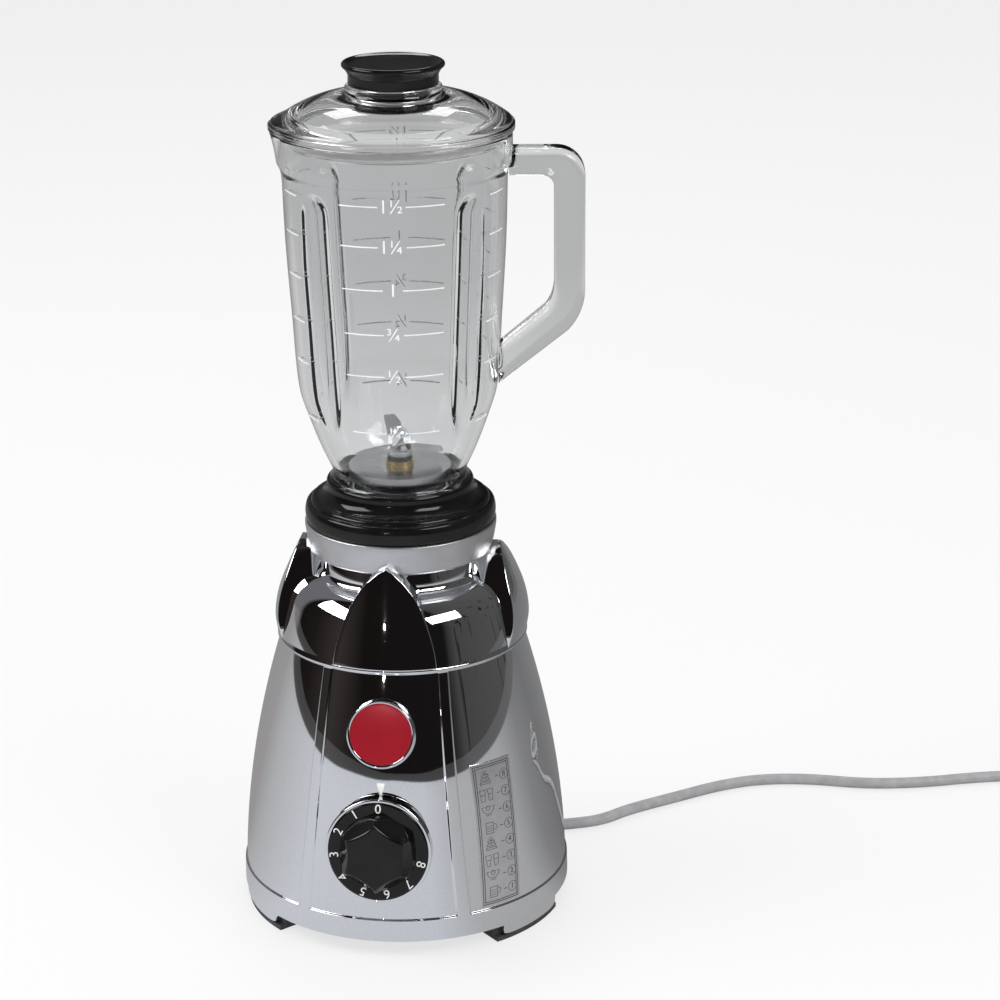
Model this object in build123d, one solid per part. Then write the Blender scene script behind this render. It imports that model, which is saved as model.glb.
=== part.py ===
from build123d import *
import math
import os

# Countertop blender. Millimetres, +Z up. The origin is on the motor axis, in the plane that the
# feet stand on. The dial faces -Y; the jar's handle points to +X, turned by jar_turn.

# ---------------------------------------------------------------- driving dimensions
clear = 0.3                 # gap between pieces that lift off or turn past each other
running = 0.05              # radial clearance of a shaft in its bearing

# housing
rim_radius = 96.5
rim_z = 10.0
waist_radius = 72.0
waist_z = 165.0
skirt_power = 1.95          # how late the skirt draws in: 1 is a cone
wall = 2.5
panel_recess = 1.0
panel_bottom_z = 23.5
ledge_height = 2.2
ledge_radius = 73.4
shoulder_radius = 75.1
shoulder_rise = 11.5        # from the waist to the shoulder's widest place
shoulder_side = (1.5, 9.5)  # in and up from there to where the shoulder turns in
shoulder_turn = (6.6, 7.5)  # in from the widest place and below the top, halfway round the turn
shoulder_flat = (18.0, 2.0)
shoulder_height = 39.5      # from the waist to the shoulder's top
neck_radius = 45.0
neck_height = 12.5
neck_cove = 3.5
neck_cove_middle = (1.0, 1.0)   # the cove's middle point, out from the neck and up from its foot
deck_thick = 3.0
seal_bore = 12.0
arch_half_width = 30.0
arch_rise = 58.0            # from the waist to the arches' tips
arch_peak_radius = 57.5
arch_lean_in = 6.5          # how far the arch is inside its widest place, halfway up
arch_bulge = 6.7            # rise of each gothic side above its chord
arch_wall = 4.6
front_panel_top = 30.8      # half-widths of the front and back panels
front_panel_bottom = 43.0
side_panel_top = 35.8       # half-widths of the front between the side panels
side_panel_bottom = 50.3

# base plate and feet
plate_thick = 2.5
plate_recess = 0.5          # the plate's underside lies this far above the rim
ledge_depth = 9.5
plate_screw_radius = 2.0
plate_screw_angles = (30.0, 150.0, 270.0)
vent_count = 10
vent_width = 5.0
vent_inner, vent_outer = 28.0, 44.0
foot_angles = (-30.0, 90.0, 210.0)
foot_half_angle = 17.5
foot_width = 12.5
tab_half_angle = 15.0
tab_inner, tab_outer = 91.5, 95.6
tab_bottom_z = 3.0

# seat ring
ring_radius = 55.3
ring_foot_radius = 52.0
ring_bulge = 1.0            # how far the ring's side is inside its brim at the step's height
ring_lip = 3.0              # upright part of the side, below the brim
ring_height = 18.0
ring_floor = 4.0
ring_step = 9.0             # height of the step inside, above the ring's foot
ring_bore = 51.5
ring_well_margin = 10.0     # between the couplings and the well round them

# motor
shaft_radius = 4.0
bearing_radius = 11.0
bearing_width = 7.0
bearing_lip = 4.0           # how far the boss closes in behind a bearing
boss_wall = 3.0             # length of the boss beyond the bearing
bracket_thick = 4.0
boss_radius = 15.0
lower_bracket_z = 38.0
bracket_half_x, bracket_half_y = 50.0, 44.0
bolt_x, bolt_y = 41.0, 35.0
bolt_radius = 2.5
bolt_head = 1.8             # head radius over the bolt's radius
bolt_head_height = 3.0
pillar_radius = 5.5
mount_wall = 2.0            # rubber round the pillars' radius
core_bottom_z = 95.0
core_height = 40.0
core_half_x, core_half_y = 48.0, 42.0
core_corner = 8.0
yoke = 12.0
window_margin = 4.0         # how much thinner the yoke is at its sides
pole_half_y = 16.0
coil_thick = 9.0
coil_rise = 9.5
armature_radius = 22.0
air_gap = 0.6
slot_count = 12
slot_width = 2.4
slot_depth = 9.0
winding_radius = 19.5
winding_rise = 11.0
winding_round = 5.0
commutator_radius = 12.0
commutator_height = 18.0
commutator_z = 60.0
bar_count = 24
bar_gap = 0.5
bar_cut = 1.2               # depth of the gaps between the bars
riser = (1.5, 3.0)          # how far the bars' ends stand out, and their length
fan_radius = 33.0
fan_height = 12.0
fan_z = 148.0
fan_blades = 9
fan_thick = 2.0
fan_hub = 10.0
fan_blade_turn = 20.0       # the blades' slant, in degrees
brush_width, brush_height, brush_length = 6.0, 8.0, 12.0
holder_wall = 2.0
holder_gap = 2.0            # between the commutator and the holders
holder_leg = 10.0
holder_reach = 38.0
spring_radius = 2.4
spring_wire = 0.45
spring_turns = 6

# couplings
coupling_radius = 18.5
coupling_disc = 3.5
dog_count = 4
dog_width = 6.0
dog_height = 5.5
dog_inner = 10.0
dog_edge = 0.8              # margin outside the dogs
dog_gap = 1.0
drive_clearance = 2.5       # between the deck and the drive coupling
hub_height = 3.0
hub_radius = 8.0

# dial, badge, pointer and guide plate
dial_z = 67.6
dial_radius = 29.0
dial_trim_radius = 30.5
dial_back = 1.8             # gap between the panel and the dial's back
dial_face = 9.0             # height of the dial's face above the panel
trim_drop = 0.8             # the trim ring's face below the dial's
grip_height = 12.5
grip_foot_radius = 22.0
grip_flank = 15.2           # from the axis to the middle of a flank, at the top
grip_hollow = 41.0          # radius of the scoops that make the flanks
grip_lobes = 6
grip_edge = 0.8
dial_shaft_radius = 3.0
dial_shaft_in = 6.0         # how far the shaft goes into the grip
control_size = 44.0
control_depth = 17.0
control_wall = 2.0
control_set_back = 9.0      # from the panel to the front of the control
bush_radius = 5.0
bush_flange = 9.0
bush_out = 1.0              # how far the bush stands out of the panel
contact_count = 9
contact_pitch = 32.0        # degrees between the dial's steps
contact_circle = 14.0
contact_radius = 2.0
contact_depth = 1.2
wiper_hub = 5.0
wiper_arm = (4.0, 11.0, 2.0)
badge_z = 132.5
badge_radius = 19.8
badge_disc_radius = 17.7
badge_standoff = 4.2
badge_disc_thick = 1.0
badge_back = 0.4
badge_stud = 2.5
pointer_top_z, pointer_bottom_z = 104.4, 95.8
pointer_half_width = 2.2
pointer_tip = 0.35
pointer_proud = 1.4
guide_angle = -46.1         # about Z, from +X
guide_width, guide_height = 27.5, 85.5
guide_bottom_z = 25.0
guide_thick = 0.6

# jar collar and blade unit; the collar's outline is given inside its widest radius and above its seat
collar_radius = 55.0
collar_roll = ((0.8, 0.0), (0.0, 5.0), (0.8, 9.5))
collar_step = ((0.8, 9.5), (1.8, 10.6), (3.4, 11.0))
collar_bead = ((3.4, 11.0), (4.4, 13.0), (6.2, 13.6))
collar_sweep = ((6.2, 13.6), (10.9, 16.2), (12.8, 21.2))
collar_lip = ((12.8, 21.2), (13.0, 23.6), (13.4, 24.3))
collar_bore = 38.7
collar_mouth = 40.9         # the wider bore that the jar's foot stands in
collar_shelf_height = 12.5
collar_shelf_thick = 6.0
collar_shelf_hole = 32.0
sleeve_wall = 4.0
blade_flange_thick = 1.5
drum_radius = 29.5
drum_height = 20.2
drum_wall = 1.5
gasket_thick = 2.6
gasket_inner = 32.0
blade_bearing_radius = 8.0
blade_bearing_drop = 8.5    # below the shelf
blade_bearing_rise = 3.0    # above the drum
bearing_collar = (5.0, 3.0)     # width and height of the bearing's collar under the drum's top
seal_height = 2.4
blade_reach = 25.0
blade_width = 9.0
blade_thick = 1.5
blade_hub = 9.0
blade_overlap = 0.6         # how far a wing runs into the hub
blade_bend = 30.0
lower_blade_turn, upper_blade_turn = 20.0, 110.0
spacer_height = 3.0
spacer_radius = 7.0
nut_size = 6.4
nut_height = 5.5
nut_dome = 5.0
shaft_short = 1.0           # the shaft's end below the nut's top

# jar; heights are given as depths below its rim
jar_turn = 7.3
jar_wall = 4.2
jar_height = 209.8
jar_rim_radius = 65.8
jar_rim_depth = 16.0
jar_outline = ((63.0, 23.0), (61.9, 62.0), (59.4, 104.0), (56.4, 147.0), (51.4, 164.0), (44.6, 182.5))
jar_neck_radius = 38.4
jar_neck_height = 13.8      # above the jar's bottom
jar_foot_radius = 40.6
jar_foot_height = 8.0
jar_foot_cove = (39.1, 10.6)
flute_width = 17.5
flute_depth = 4.5
flute_top = 38.0
flute_bottom = 172.0
flute_lean = 3.3
flute_count = 4
spout_centre = 42.0
spout_radii = (20.0, 27.5)
spout_depth = 25.0
handle_width = 17.6
handle_reach = 106.0
handle_inner = 88.6
handle_top = 10.0
handle_arm = 15.5
handle_bend = 93.0
handle_bend_middle = (102.9, 105.5)
handle_knee = (96.4, 115.0)
handle_foot = (55.0, 147.0)
handle_foot_inner = (56.0, 122.0)
handle_inner_knee = (87.7, 98.0)
handle_corner = 16.0
handle_inner_corner = 7.0

# lid and stopper; the lid's outline is given by radius and height above the jar's rim
lid_radius = 67.2
lid_flange = 4.0
lid_lip_centre, lid_lip_radius = 38.0, 32.0
lid_plug_radius = 58.5
lid_plug_depth = 7.5
lid_wall = 3.0
lid_dome = ((65.5, 5.5), (47.5, 15.5), (27.0, 20.2))
lid_neck_radius = 27.0
lid_height = 24.7
lid_hole = 22.0
seal_radius = 61.0
lid_seal_height = 4.0
stopper_band_radius = 25.2
stopper_band = 5.5
stopper_brim = ((25.2, 5.5), (26.9, 8.6), (28.5, 10.0))     # radius and height above the seat
stopper_edge = ((28.5, 10.0), (28.5, 11.9), (27.0, 12.7))
stopper_dish = ((27.0, 12.7), (24.5, 11.8), (21.0, 11.5))
stopper_plug_depth = 15.0
stopper_wall = 2.5

# lead
cord_radius = 3.5
gland_start = (22.0, 66.0, 5.0)
gland_root = 4.8
gland_tip = 4.0
gland_block = (16.0, 16.0)
gland_block_z = 0.6
gland_block_shift = 2.0
cord_route = ((49.0, 73.0, 4.2), (70.0, 81.0, 3.7), (93.0, 87.5, 3.6), (110.0, 95.5, 3.6),
              (124.0, 112.0, 3.6), (150.0, 132.0, 3.6), (179.0, 155.0, 3.6), (204.0, 167.5, 3.6),
              (236.0, 172.0, 3.6), (272.0, 168.0, 3.6), (308.0, 174.0, 3.6), (345.0, 187.0, 3.6),
              (386.0, 195.5, 3.6), (427.0, 196.0, 3.6))
arc_share = 0.45            # share of the shorter run that each bend takes
coil_centre = (427.0, 236.0)
coil_inner, coil_outer = 32.6, 48.0
coil_bottom_z, coil_top_z = 0.1, 14.0
coil_edge = 3.2
plug_axis = (478.5, 12.5)   # x and z of the plug's axis
plug_start_y = 246.0
plug_sleeve = 16.0
sleeve_radii = (4.5, 6.0)
plug_shoulder = 7.5
plug_taper = 10.0
plug_radius = 12.0
plug_length = 34.0
pin_radius = 2.0
pin_length = 19.0
pin_pitch = 9.5
pin_offset = 5.0

# inside fittings
terminal_box = (26.0, 16.0, 14.0)
terminal_place = (0.0, 66.0)
capacitor_radius, capacitor_length = 9.0, 30.0
capacitor_place = (-36.0, 54.0)
clamp_box = (22.0, 8.0, 9.0)
clamp_place = (24.0, 50.0)
lead_radius = 1.2
lead_rise = 20.0            # above the lower bracket
lead_places = (-7.0, 0.0, 7.0)

# ---------------------------------------------------------------- values that follow
plate_z = rim_z + plate_recess
plate_top_z = plate_z + plate_thick
plate_radius = rim_radius - wall - panel_recess - clear
ledge_z = waist_z + ledge_height
shoulder_z = waist_z + shoulder_rise
shoulder_top_z = waist_z + shoulder_height
deck_z = shoulder_top_z + neck_height
arch_peak_z = waist_z + arch_rise
upper_bracket_z = waist_z
ring_top_z = deck_z + ring_height
collar_seat_z = ring_top_z + clear
core_top_z = core_bottom_z + core_height
bore_radius = armature_radius + air_gap
drive_z = deck_z + drive_clearance
dog_z = drive_z + hub_height + coupling_disc
driven_z = dog_z + dog_height + dog_gap
collar_shelf_z = collar_seat_z + collar_shelf_height
collar_top_z = collar_seat_z + collar_lip[2][1]
drum_top_z = collar_shelf_z + drum_height
blade_bearing_bottom_z = collar_shelf_z - blade_bearing_drop
blade_bearing_top_z = drum_top_z + blade_bearing_rise
blade_z = blade_bearing_top_z + seal_height + clear + spacer_height
gasket_z = collar_shelf_z + blade_flange_thick
jar_bottom_z = gasket_z + gasket_thick + clear
jar_top_z = jar_bottom_z + jar_height
handle_top_z = jar_top_z - handle_top
lid_z = jar_top_z + clear
lid_neck_z = lid_z + lid_height
stopper_seat_z = lid_neck_z + clear
foot_reach = tab_outer - 1

parts = {}


# ---------------------------------------------------------------- helpers
def at(radius, z):
    """A point of a profile that is revolved about the axis."""
    return (radius, 0, z)


def turned(*edges):
    return revolve(make_face(edges), axis=Axis.Z)


def tube(inner, outer, bottom, top):
    """A ring about the axis, or a disc where inner is 0."""
    ring = Cylinder(outer, top - bottom)
    if inner > 0:
        ring -= Cylinder(inner, top - bottom)
    return Pos(0, 0, (top + bottom) / 2) * ring


def block(size, centre, bottom):
    return Pos(centre[0], centre[1], bottom + size[2] / 2) * Box(*size)


def sector(inner, outer, bottom, top, middle, half_angle):
    """A piece of a ring, half_angle each side of the angle middle."""
    reach = 2 * outer
    a, b = math.radians(middle - half_angle), math.radians(middle + half_angle)
    wedge = make_face(Polyline((0, 0), (reach * math.cos(a), reach * math.sin(a)),
                               (reach * math.cos(b), reach * math.sin(b)), (0, 0)))
    wedge = Pos(0, 0, bottom) * extrude(wedge, top - bottom)
    return tube(inner, outer, bottom, top) & wedge


def around(count, start=0.0):
    return [start + 360.0 / count * i for i in range(count)]


def corners(x, y):
    return [(sx * x, sy * y) for sx in (-1, 1) for sy in (-1, 1)]


# ---------------------------------------------------------------- housing
def skirt_radius(z):
    share = max(0.0, (z - rim_z) / (waist_z - rim_z))
    return rim_radius - (rim_radius - waist_radius) * share ** skirt_power


def skirt_lean(z):
    """How far the skirt's surface leans back from upright, in degrees."""
    step = 0.5
    return math.degrees(math.atan2(skirt_radius(z - step) - skirt_radius(z + step), 2 * step))


def skirt_edge(inset, bottom, top):
    count = 7
    heights = [bottom + (top - bottom) * i / count for i in range(count + 1)]
    return Spline(*[at(skirt_radius(z) - inset, z) for z in heights])


def body_form(inset, bottom):
    """The skirt, ledge, shoulder and neck as one turned solid, drawn in by inset."""
    top = deck_z - (deck_thick if inset else 0)
    low = shoulder_top_z - inset
    bead, neck = shoulder_radius - inset, neck_radius - inset
    ledge = at(ledge_radius - inset, ledge_z)
    side = at(bead - shoulder_side[0], shoulder_z + shoulder_side[1])
    turn = at(bead - shoulder_turn[0], low - shoulder_turn[1])
    flat = at(bead - shoulder_flat[0], low - shoulder_flat[1])
    cove = at(neck + neck_cove, low)
    cove_middle = at(neck + neck_cove_middle[0], low + neck_cove_middle[1])
    cove_top = at(neck, low + neck_cove)
    return turned(
        Line(at(0, bottom), at(skirt_radius(bottom) - inset, bottom)),
        skirt_edge(inset, bottom, waist_z),
        Line(at(waist_radius - inset, waist_z), ledge),
        ThreePointArc(ledge, at(bead, shoulder_z), side),
        ThreePointArc(side, turn, flat),
        Line(flat, cove),
        ThreePointArc(cove, cove_middle, cove_top),
        Line(cove_top, at(neck, top)),
        Line(at(neck, top), at(0, top)),
        Line(at(0, top), at(0, bottom)),
    )


def arch_form(inset):
    """Four gothic lobes on the shoulder, one on each side."""
    peak = arch_peak_z - 2 * inset
    half = arch_half_width - inset
    base = waist_z if inset == 0 else ledge_z
    rise = peak - base
    chord = math.hypot(half, rise)
    middle = (half / 2 + arch_bulge * rise / chord, (base + peak) / 2 + arch_bulge * half / chord)
    gothic = make_face([
        ThreePointArc((half, 0, base), (middle[0], 0, middle[1]), (0, 0, peak)),
        ThreePointArc((0, 0, peak), (-middle[0], 0, middle[1]), (-half, 0, base)),
        Line((-half, 0, base), (half, 0, base)),
    ])
    prism = extrude(gothic, rim_radius, dir=(0, -1, 0))
    bead = shoulder_radius - inset
    ledge = at(ledge_radius - inset, ledge_z)
    spine = turned(
        Line(at(0, waist_z), at(waist_radius - inset, waist_z)),
        Line(at(waist_radius - inset, waist_z), ledge),
        Spline(ledge, at(bead, shoulder_z), at(bead - arch_lean_in, (shoulder_z + arch_peak_z) / 2),
               at(arch_peak_radius - inset, arch_peak_z)),
        Line(at(arch_peak_radius - inset, arch_peak_z), at(0, arch_peak_z)),
        Line(at(0, arch_peak_z), at(0, waist_z)),
    )
    keep_out = tube(0, neck_radius - wall - clear, waist_z - 1, arch_peak_z + 1)
    lobe = (prism & spine) - keep_out
    return [Rot(0, 0, angle) * lobe for angle in around(4)]


def panel_prism(top_half, bottom_half):
    """An upright wedge across the whole housing, wider at the bottom."""
    points = [(-bottom_half, 0, panel_bottom_z), (bottom_half, 0, panel_bottom_z),
              (top_half, 0, waist_z), (-top_half, 0, waist_z), (-bottom_half, 0, panel_bottom_z)]
    return extrude(make_face(Polyline(*points)), rim_radius + wall, dir=(0, 1, 0), both=True)


def skirt_skin(inner_inset, outer_inset, bottom, top):
    """A thin skin that follows the skirt between two insets."""
    low, high = skirt_radius(bottom), skirt_radius(top)
    return turned(
        skirt_edge(inner_inset, bottom, top),
        Line(at(high - inner_inset, top), at(high - outer_inset, top)),
        skirt_edge(outer_inset, bottom, top),
        Line(at(low - outer_inset, bottom), at(low - inner_inset, bottom)),
    )


def panel_frame(z, depth=0.0):
    """A frame on the front panel at height z: its normal points out, and its y runs up the panel."""
    lean = math.radians(skirt_lean(z))
    return Plane(origin=(0, depth - (skirt_radius(z) - panel_recess), z), x_dir=(1, 0, 0),
                 z_dir=(0, -math.cos(lean), math.sin(lean)))


dial_frame = panel_frame(dial_z)
badge_frame = panel_frame(badge_z)


def on(frame, shape, height=0.0):
    """Places a shape on a panel frame, its own origin at height above the panel."""
    return frame.location * Pos(0, 0, height) * shape


def disc(radius, low, high, hole=0.0):
    """A disc or ring between two heights, for use on a panel frame."""
    piece = Cylinder(radius, high - low)
    if hole > 0:
        piece -= Cylinder(hole, high - low)
    return Pos(0, 0, (low + high) / 2) * piece


screw_circle = plate_radius - ledge_depth / 2


def screw_hole(angle, bottom, top):
    return Rot(0, 0, angle) * Pos(screw_circle, 0, 0) * tube(0, plate_screw_radius, bottom, top)


def ring_form(grow):
    """The outer shape of the seat ring, widened by grow."""
    foot, brim = ring_foot_radius + grow, ring_radius + grow
    lip = at(brim, ring_top_z - ring_lip)
    return turned(
        Line(at(0, deck_z), at(foot, deck_z)),
        ThreePointArc(at(foot, deck_z), at(brim - ring_bulge, deck_z + ring_step), lip),
        Line(lip, at(brim, ring_top_z)),
        Line(at(brim, ring_top_z), at(0, ring_top_z)),
        Line(at(0, ring_top_z), at(0, deck_z)),
    )


def make_housing():
    outer = body_form(0, rim_z)
    for lobe in arch_form(0):
        outer += lobe
    outer -= ring_form(clear)
    skin = skirt_skin(panel_recess, -1, panel_bottom_z, waist_z)
    outer -= skin & panel_prism(front_panel_top, front_panel_bottom)
    outer -= skin - panel_prism(side_panel_top, side_panel_bottom)
    inner = body_form(wall + panel_recess, rim_z)
    for lobe in arch_form(arch_wall):
        inner += lobe - ring_form(clear + wall)
    shell = outer - inner
    inside = skirt_radius(plate_top_z) - wall - panel_recess
    shell += tube(plate_radius - ledge_depth, inside + wall / 2, plate_top_z, plate_top_z + wall)
    for angle in foot_angles:
        shell += sector(tab_inner, tab_outer, tab_bottom_z, rim_z + 1, angle, tab_half_angle)
    shell -= tube(0, plate_radius + clear, rim_z - 1, plate_top_z)
    shell -= tube(0, seal_bore, deck_z - deck_thick - 1, deck_z + 1)
    shell -= on(dial_frame, disc(bush_radius, -control_set_back, wall))
    shell -= on(badge_frame, disc(badge_stud, -control_set_back, wall))
    for angle in plate_screw_angles:
        shell -= screw_hole(angle, plate_z, plate_top_z + wall + 1)
    return shell


parts["housing"] = make_housing()

# seat ring on the neck's deck
well_radius = coupling_radius + ring_well_margin
parts["seat_ring"] = (ring_form(0) - tube(0, ring_bore, deck_z + ring_step, ring_top_z)
                      - tube(0, ring_foot_radius - ring_floor, deck_z + ring_floor, ring_top_z)
                      - tube(0, well_radius, deck_z, ring_top_z))

# seal in the deck's shaft hole
parts["deck_seal"] = (tube(shaft_radius + running, seal_bore, deck_z - deck_thick, deck_z)
                      + tube(shaft_radius + running, seal_bore + 3, deck_z, deck_z + 1.5))


# ---------------------------------------------------------------- base plate and feet
def make_base_plate():
    plate = tube(0, plate_radius, plate_z, plate_top_z)
    slot = Pos((vent_inner + vent_outer) / 2, 0, (plate_z + plate_top_z) / 2) * Box(
        vent_outer - vent_inner, vent_width, plate_thick + 1)
    for angle in around(vent_count):
        plate -= Rot(0, 0, angle) * slot
    for angle in plate_screw_angles:
        plate -= screw_hole(angle, plate_z - 1, plate_top_z + 1)
    for x, y in corners(bolt_x, bolt_y):
        plate -= Pos(x, y, 0) * tube(0, bolt_radius, plate_z - 1, plate_top_z + 1)
    block_size = (gland_block[0], gland_block[1], plate_z - gland_block_z)
    block_centre = (gland_start[0] - gland_block[0] / 2, gland_start[1] - gland_block_shift)
    plate += block(block_size, block_centre, gland_block_z)
    return plate


parts["base_plate"] = make_base_plate()

plate_screw = (tube(0, plate_screw_radius, plate_z, plate_top_z + wall)
               + tube(0, 2 * plate_screw_radius, plate_z - 2, plate_z))
parts["base_plate_screws"] = Compound(
    [Rot(0, 0, angle) * Pos(screw_circle, 0, 0) * plate_screw for angle in plate_screw_angles])

foot_inner = tab_inner - clear - foot_width
parts["rubber_feet"] = Compound([
    sector(foot_inner, tab_inner - clear, 0, plate_z, angle, foot_half_angle)
    + sector(foot_inner, foot_reach, 0, tab_bottom_z - clear, angle, foot_half_angle)
    for angle in foot_angles])

# ---------------------------------------------------------------- motor, fixed parts
boss_depth = bearing_width + boss_wall
motor_height = deck_z - rim_z


def make_bracket(bottom, boss_bottom, bearing_bottom, pillar_ends):
    """A plate with a bearing boss and four pillars."""
    plate = block((2 * bracket_half_x, 2 * bracket_half_y, bracket_thick), (0, 0), bottom)
    plate = fillet(plate.edges().filter_by(Axis.Z), core_corner)
    plate += tube(0, boss_radius, boss_bottom, boss_bottom + boss_depth)
    plate -= tube(0, bearing_radius, bearing_bottom, bearing_bottom + bearing_width)
    plate -= tube(0, bearing_radius - bearing_lip, boss_bottom - 1, boss_bottom + boss_depth + 1)
    for x, y in corners(bolt_x, bolt_y):
        plate += Pos(x, y, 0) * tube(0, pillar_radius, *pillar_ends)
        plate -= Pos(x, y, 0) * tube(0, bolt_radius, bottom - motor_height, bottom + motor_height)
    return plate


lower_bearing_z = lower_bracket_z + bracket_thick - bearing_width
upper_bearing_z = upper_bracket_z
parts["lower_bracket"] = make_bracket(lower_bracket_z, lower_bracket_z + bracket_thick - boss_depth,
                                      lower_bearing_z, (lower_bracket_z + bracket_thick, core_bottom_z))
parts["upper_bracket"] = make_bracket(upper_bracket_z, upper_bracket_z,
                                      upper_bearing_z, (core_top_z, upper_bracket_z))
for name, z in (("lower_bearing", lower_bearing_z), ("upper_bearing", upper_bearing_z)):
    parts[name] = tube(shaft_radius + running, bearing_radius, z, z + bearing_width)

motor_mount = tube(bolt_radius, pillar_radius + mount_wall, plate_top_z, lower_bracket_z)
parts["motor_mounts"] = Compound([Pos(x, y, 0) * motor_mount for x, y in corners(bolt_x, bolt_y)])
bolt_top_z = upper_bracket_z + bracket_thick
tie_bolt = (tube(0, bolt_radius, plate_z, bolt_top_z)
            + tube(0, bolt_head * bolt_radius, bolt_top_z, bolt_top_z + bolt_head_height))
parts["motor_tie_bolts"] = Compound([Pos(x, y, 0) * tie_bolt for x, y in corners(bolt_x, bolt_y)])


def make_stator():
    core = Box(2 * core_half_x, 2 * core_half_y, core_height)
    core = fillet(core.edges().filter_by(Axis.Z), core_corner)
    window = Box(2 * (core_half_x - yoke), 2 * (core_half_y - yoke + window_margin), core_height)
    pole = Box(2 * core_half_x, 2 * pole_half_y, core_height)
    core -= window - pole
    core -= Cylinder(bore_radius, core_height)
    for x, y in corners(bolt_x, bolt_y):
        core -= Pos(x, y, 0) * Cylinder(bolt_radius, core_height)
    return Pos(0, 0, core_bottom_z + core_height / 2) * core


parts["stator_core"] = make_stator()


def make_field_coil(side):
    """A racetrack winding round one pole, which points along X."""
    middle = side * (core_half_x - yoke - clear - coil_thick / 2)
    half = pole_half_y + clear
    coil = Box(coil_thick, 2 * (half + coil_thick), core_height + 2 * coil_rise)
    coil = fillet(coil.edges().filter_by(Axis.X), coil_thick)
    coil -= Box(coil_thick, 2 * half, core_height + 2 * clear)
    return Pos(middle, 0, core_bottom_z + core_height / 2) * coil


parts["field_coils"] = Compound([make_field_coil(side) for side in (-1, 1)])

brush_z = commutator_z + commutator_height / 2
holder_start = commutator_radius + holder_gap


def make_brush_holder(side):
    width = brush_width + 2 * holder_wall
    height = brush_height + 2 * holder_wall
    length = holder_reach - holder_start
    middle = side * (holder_start + length / 2)
    channel = Pos(0, -side * holder_wall, 0) * Box(brush_width, length, brush_height)
    holder = Pos(0, middle, brush_z) * (Box(width, length, height) - channel)
    leg_bottom = lower_bracket_z + bracket_thick
    leg_size = (width, holder_leg, brush_z - height / 2 - leg_bottom)
    return holder + block(leg_size, (0, side * (holder_reach - holder_leg / 2)), leg_bottom)


parts["brush_holders"] = Compound([make_brush_holder(side) for side in (-1, 1)])
brush_start = commutator_radius + clear
parts["carbon_brushes"] = Compound([
    Pos(0, side * (brush_start + brush_length / 2), brush_z) * Box(brush_width, brush_length, brush_height)
    for side in (-1, 1)])


def make_brush_spring(side):
    """A compression spring between the brush and the holder's closed end."""
    start = brush_start + brush_length
    length = holder_reach - holder_wall - start - 2 * spring_wire
    helix = Helix(pitch=length / spring_turns, height=length, radius=spring_radius)
    profile = Plane(origin=helix @ 0, z_dir=helix % 0) * Circle(spring_wire)
    wire = sweep(profile, path=helix, is_frenet=True)
    return Pos(0, side * (start + spring_wire), brush_z) * Rot(-90 * side, 0, 0) * wire


parts["brush_springs"] = Compound([make_brush_spring(side) for side in (-1, 1)])

# ---------------------------------------------------------------- rotor
shaft_end_gap = 2.0         # how far the shaft comes out below its bearing
parts["motor_shaft"] = tube(0, shaft_radius, lower_bearing_z - shaft_end_gap, dog_z)


def make_armature_core():
    core = tube(shaft_radius, armature_radius, core_bottom_z, core_top_z)
    slot = Pos(armature_radius - slot_depth / 2, 0, core_bottom_z + core_height / 2) * Box(
        slot_depth, slot_width, core_height)
    for angle in around(slot_count):
        core -= Rot(0, 0, angle) * slot
    return core


parts["armature_core"] = make_armature_core()
winding = fillet(tube(shaft_radius, winding_radius, 0, winding_rise).edges().filter_by(GeomType.CIRCLE)
                 .group_by(Axis.Z)[-1].sort_by(SortBy.LENGTH)[-1], winding_round)
parts["armature_windings"] = Compound([Pos(0, 0, core_top_z) * winding,
                                       Pos(0, 0, core_bottom_z) * Rot(180, 0, 0) * winding])


def make_commutator():
    top = commutator_z + commutator_height
    ring = tube(shaft_radius, commutator_radius, commutator_z, top)
    ring += tube(shaft_radius, commutator_radius + riser[0], top, top + riser[1])
    cut = block((2 * bar_cut, bar_gap, commutator_height), (commutator_radius, 0), commutator_z)
    for angle in around(bar_count):
        ring -= Rot(0, 0, angle) * cut
    return ring


parts["commutator"] = make_commutator()


def make_fan():
    fan = tube(shaft_radius, fan_hub, fan_z, fan_z + fan_height)
    fan += tube(shaft_radius, fan_radius, fan_z, fan_z + fan_thick)
    inner, outer = fan_hub - 1, fan_radius - 2
    blade = Rot(0, 0, fan_blade_turn) * block((outer - inner, fan_thick, fan_height), (0, 0), fan_z)
    blade = Pos((inner + outer) / 2 + 1, 0, 0) * blade
    for angle in around(fan_blades):
        fan += Rot(0, 0, angle) * blade
    return fan


parts["cooling_fan"] = make_fan()


def dog(bottom, angle):
    """One driving lug of a coupling."""
    length = coupling_radius - dog_inner - dog_edge
    return Rot(0, 0, angle) * block((length, dog_width, dog_height), (dog_inner + length / 2, 0), bottom)


def make_drive_coupling():
    piece = tube(shaft_radius, hub_radius, drive_z, drive_z + hub_height)
    piece += tube(shaft_radius, coupling_radius, drive_z + hub_height, dog_z)
    for angle in around(dog_count):
        piece += dog(dog_z, angle)
    return piece


parts["drive_coupling"] = make_drive_coupling()

# ---------------------------------------------------------------- dial, badge and plates
bush_bore = dial_shaft_radius + running
parts["shaft_bush"] = on(dial_frame, disc(bush_radius, -control_set_back, bush_out, bush_bore)
                         + disc(bush_flange, -control_set_back, -wall - panel_recess, bush_bore))


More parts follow.
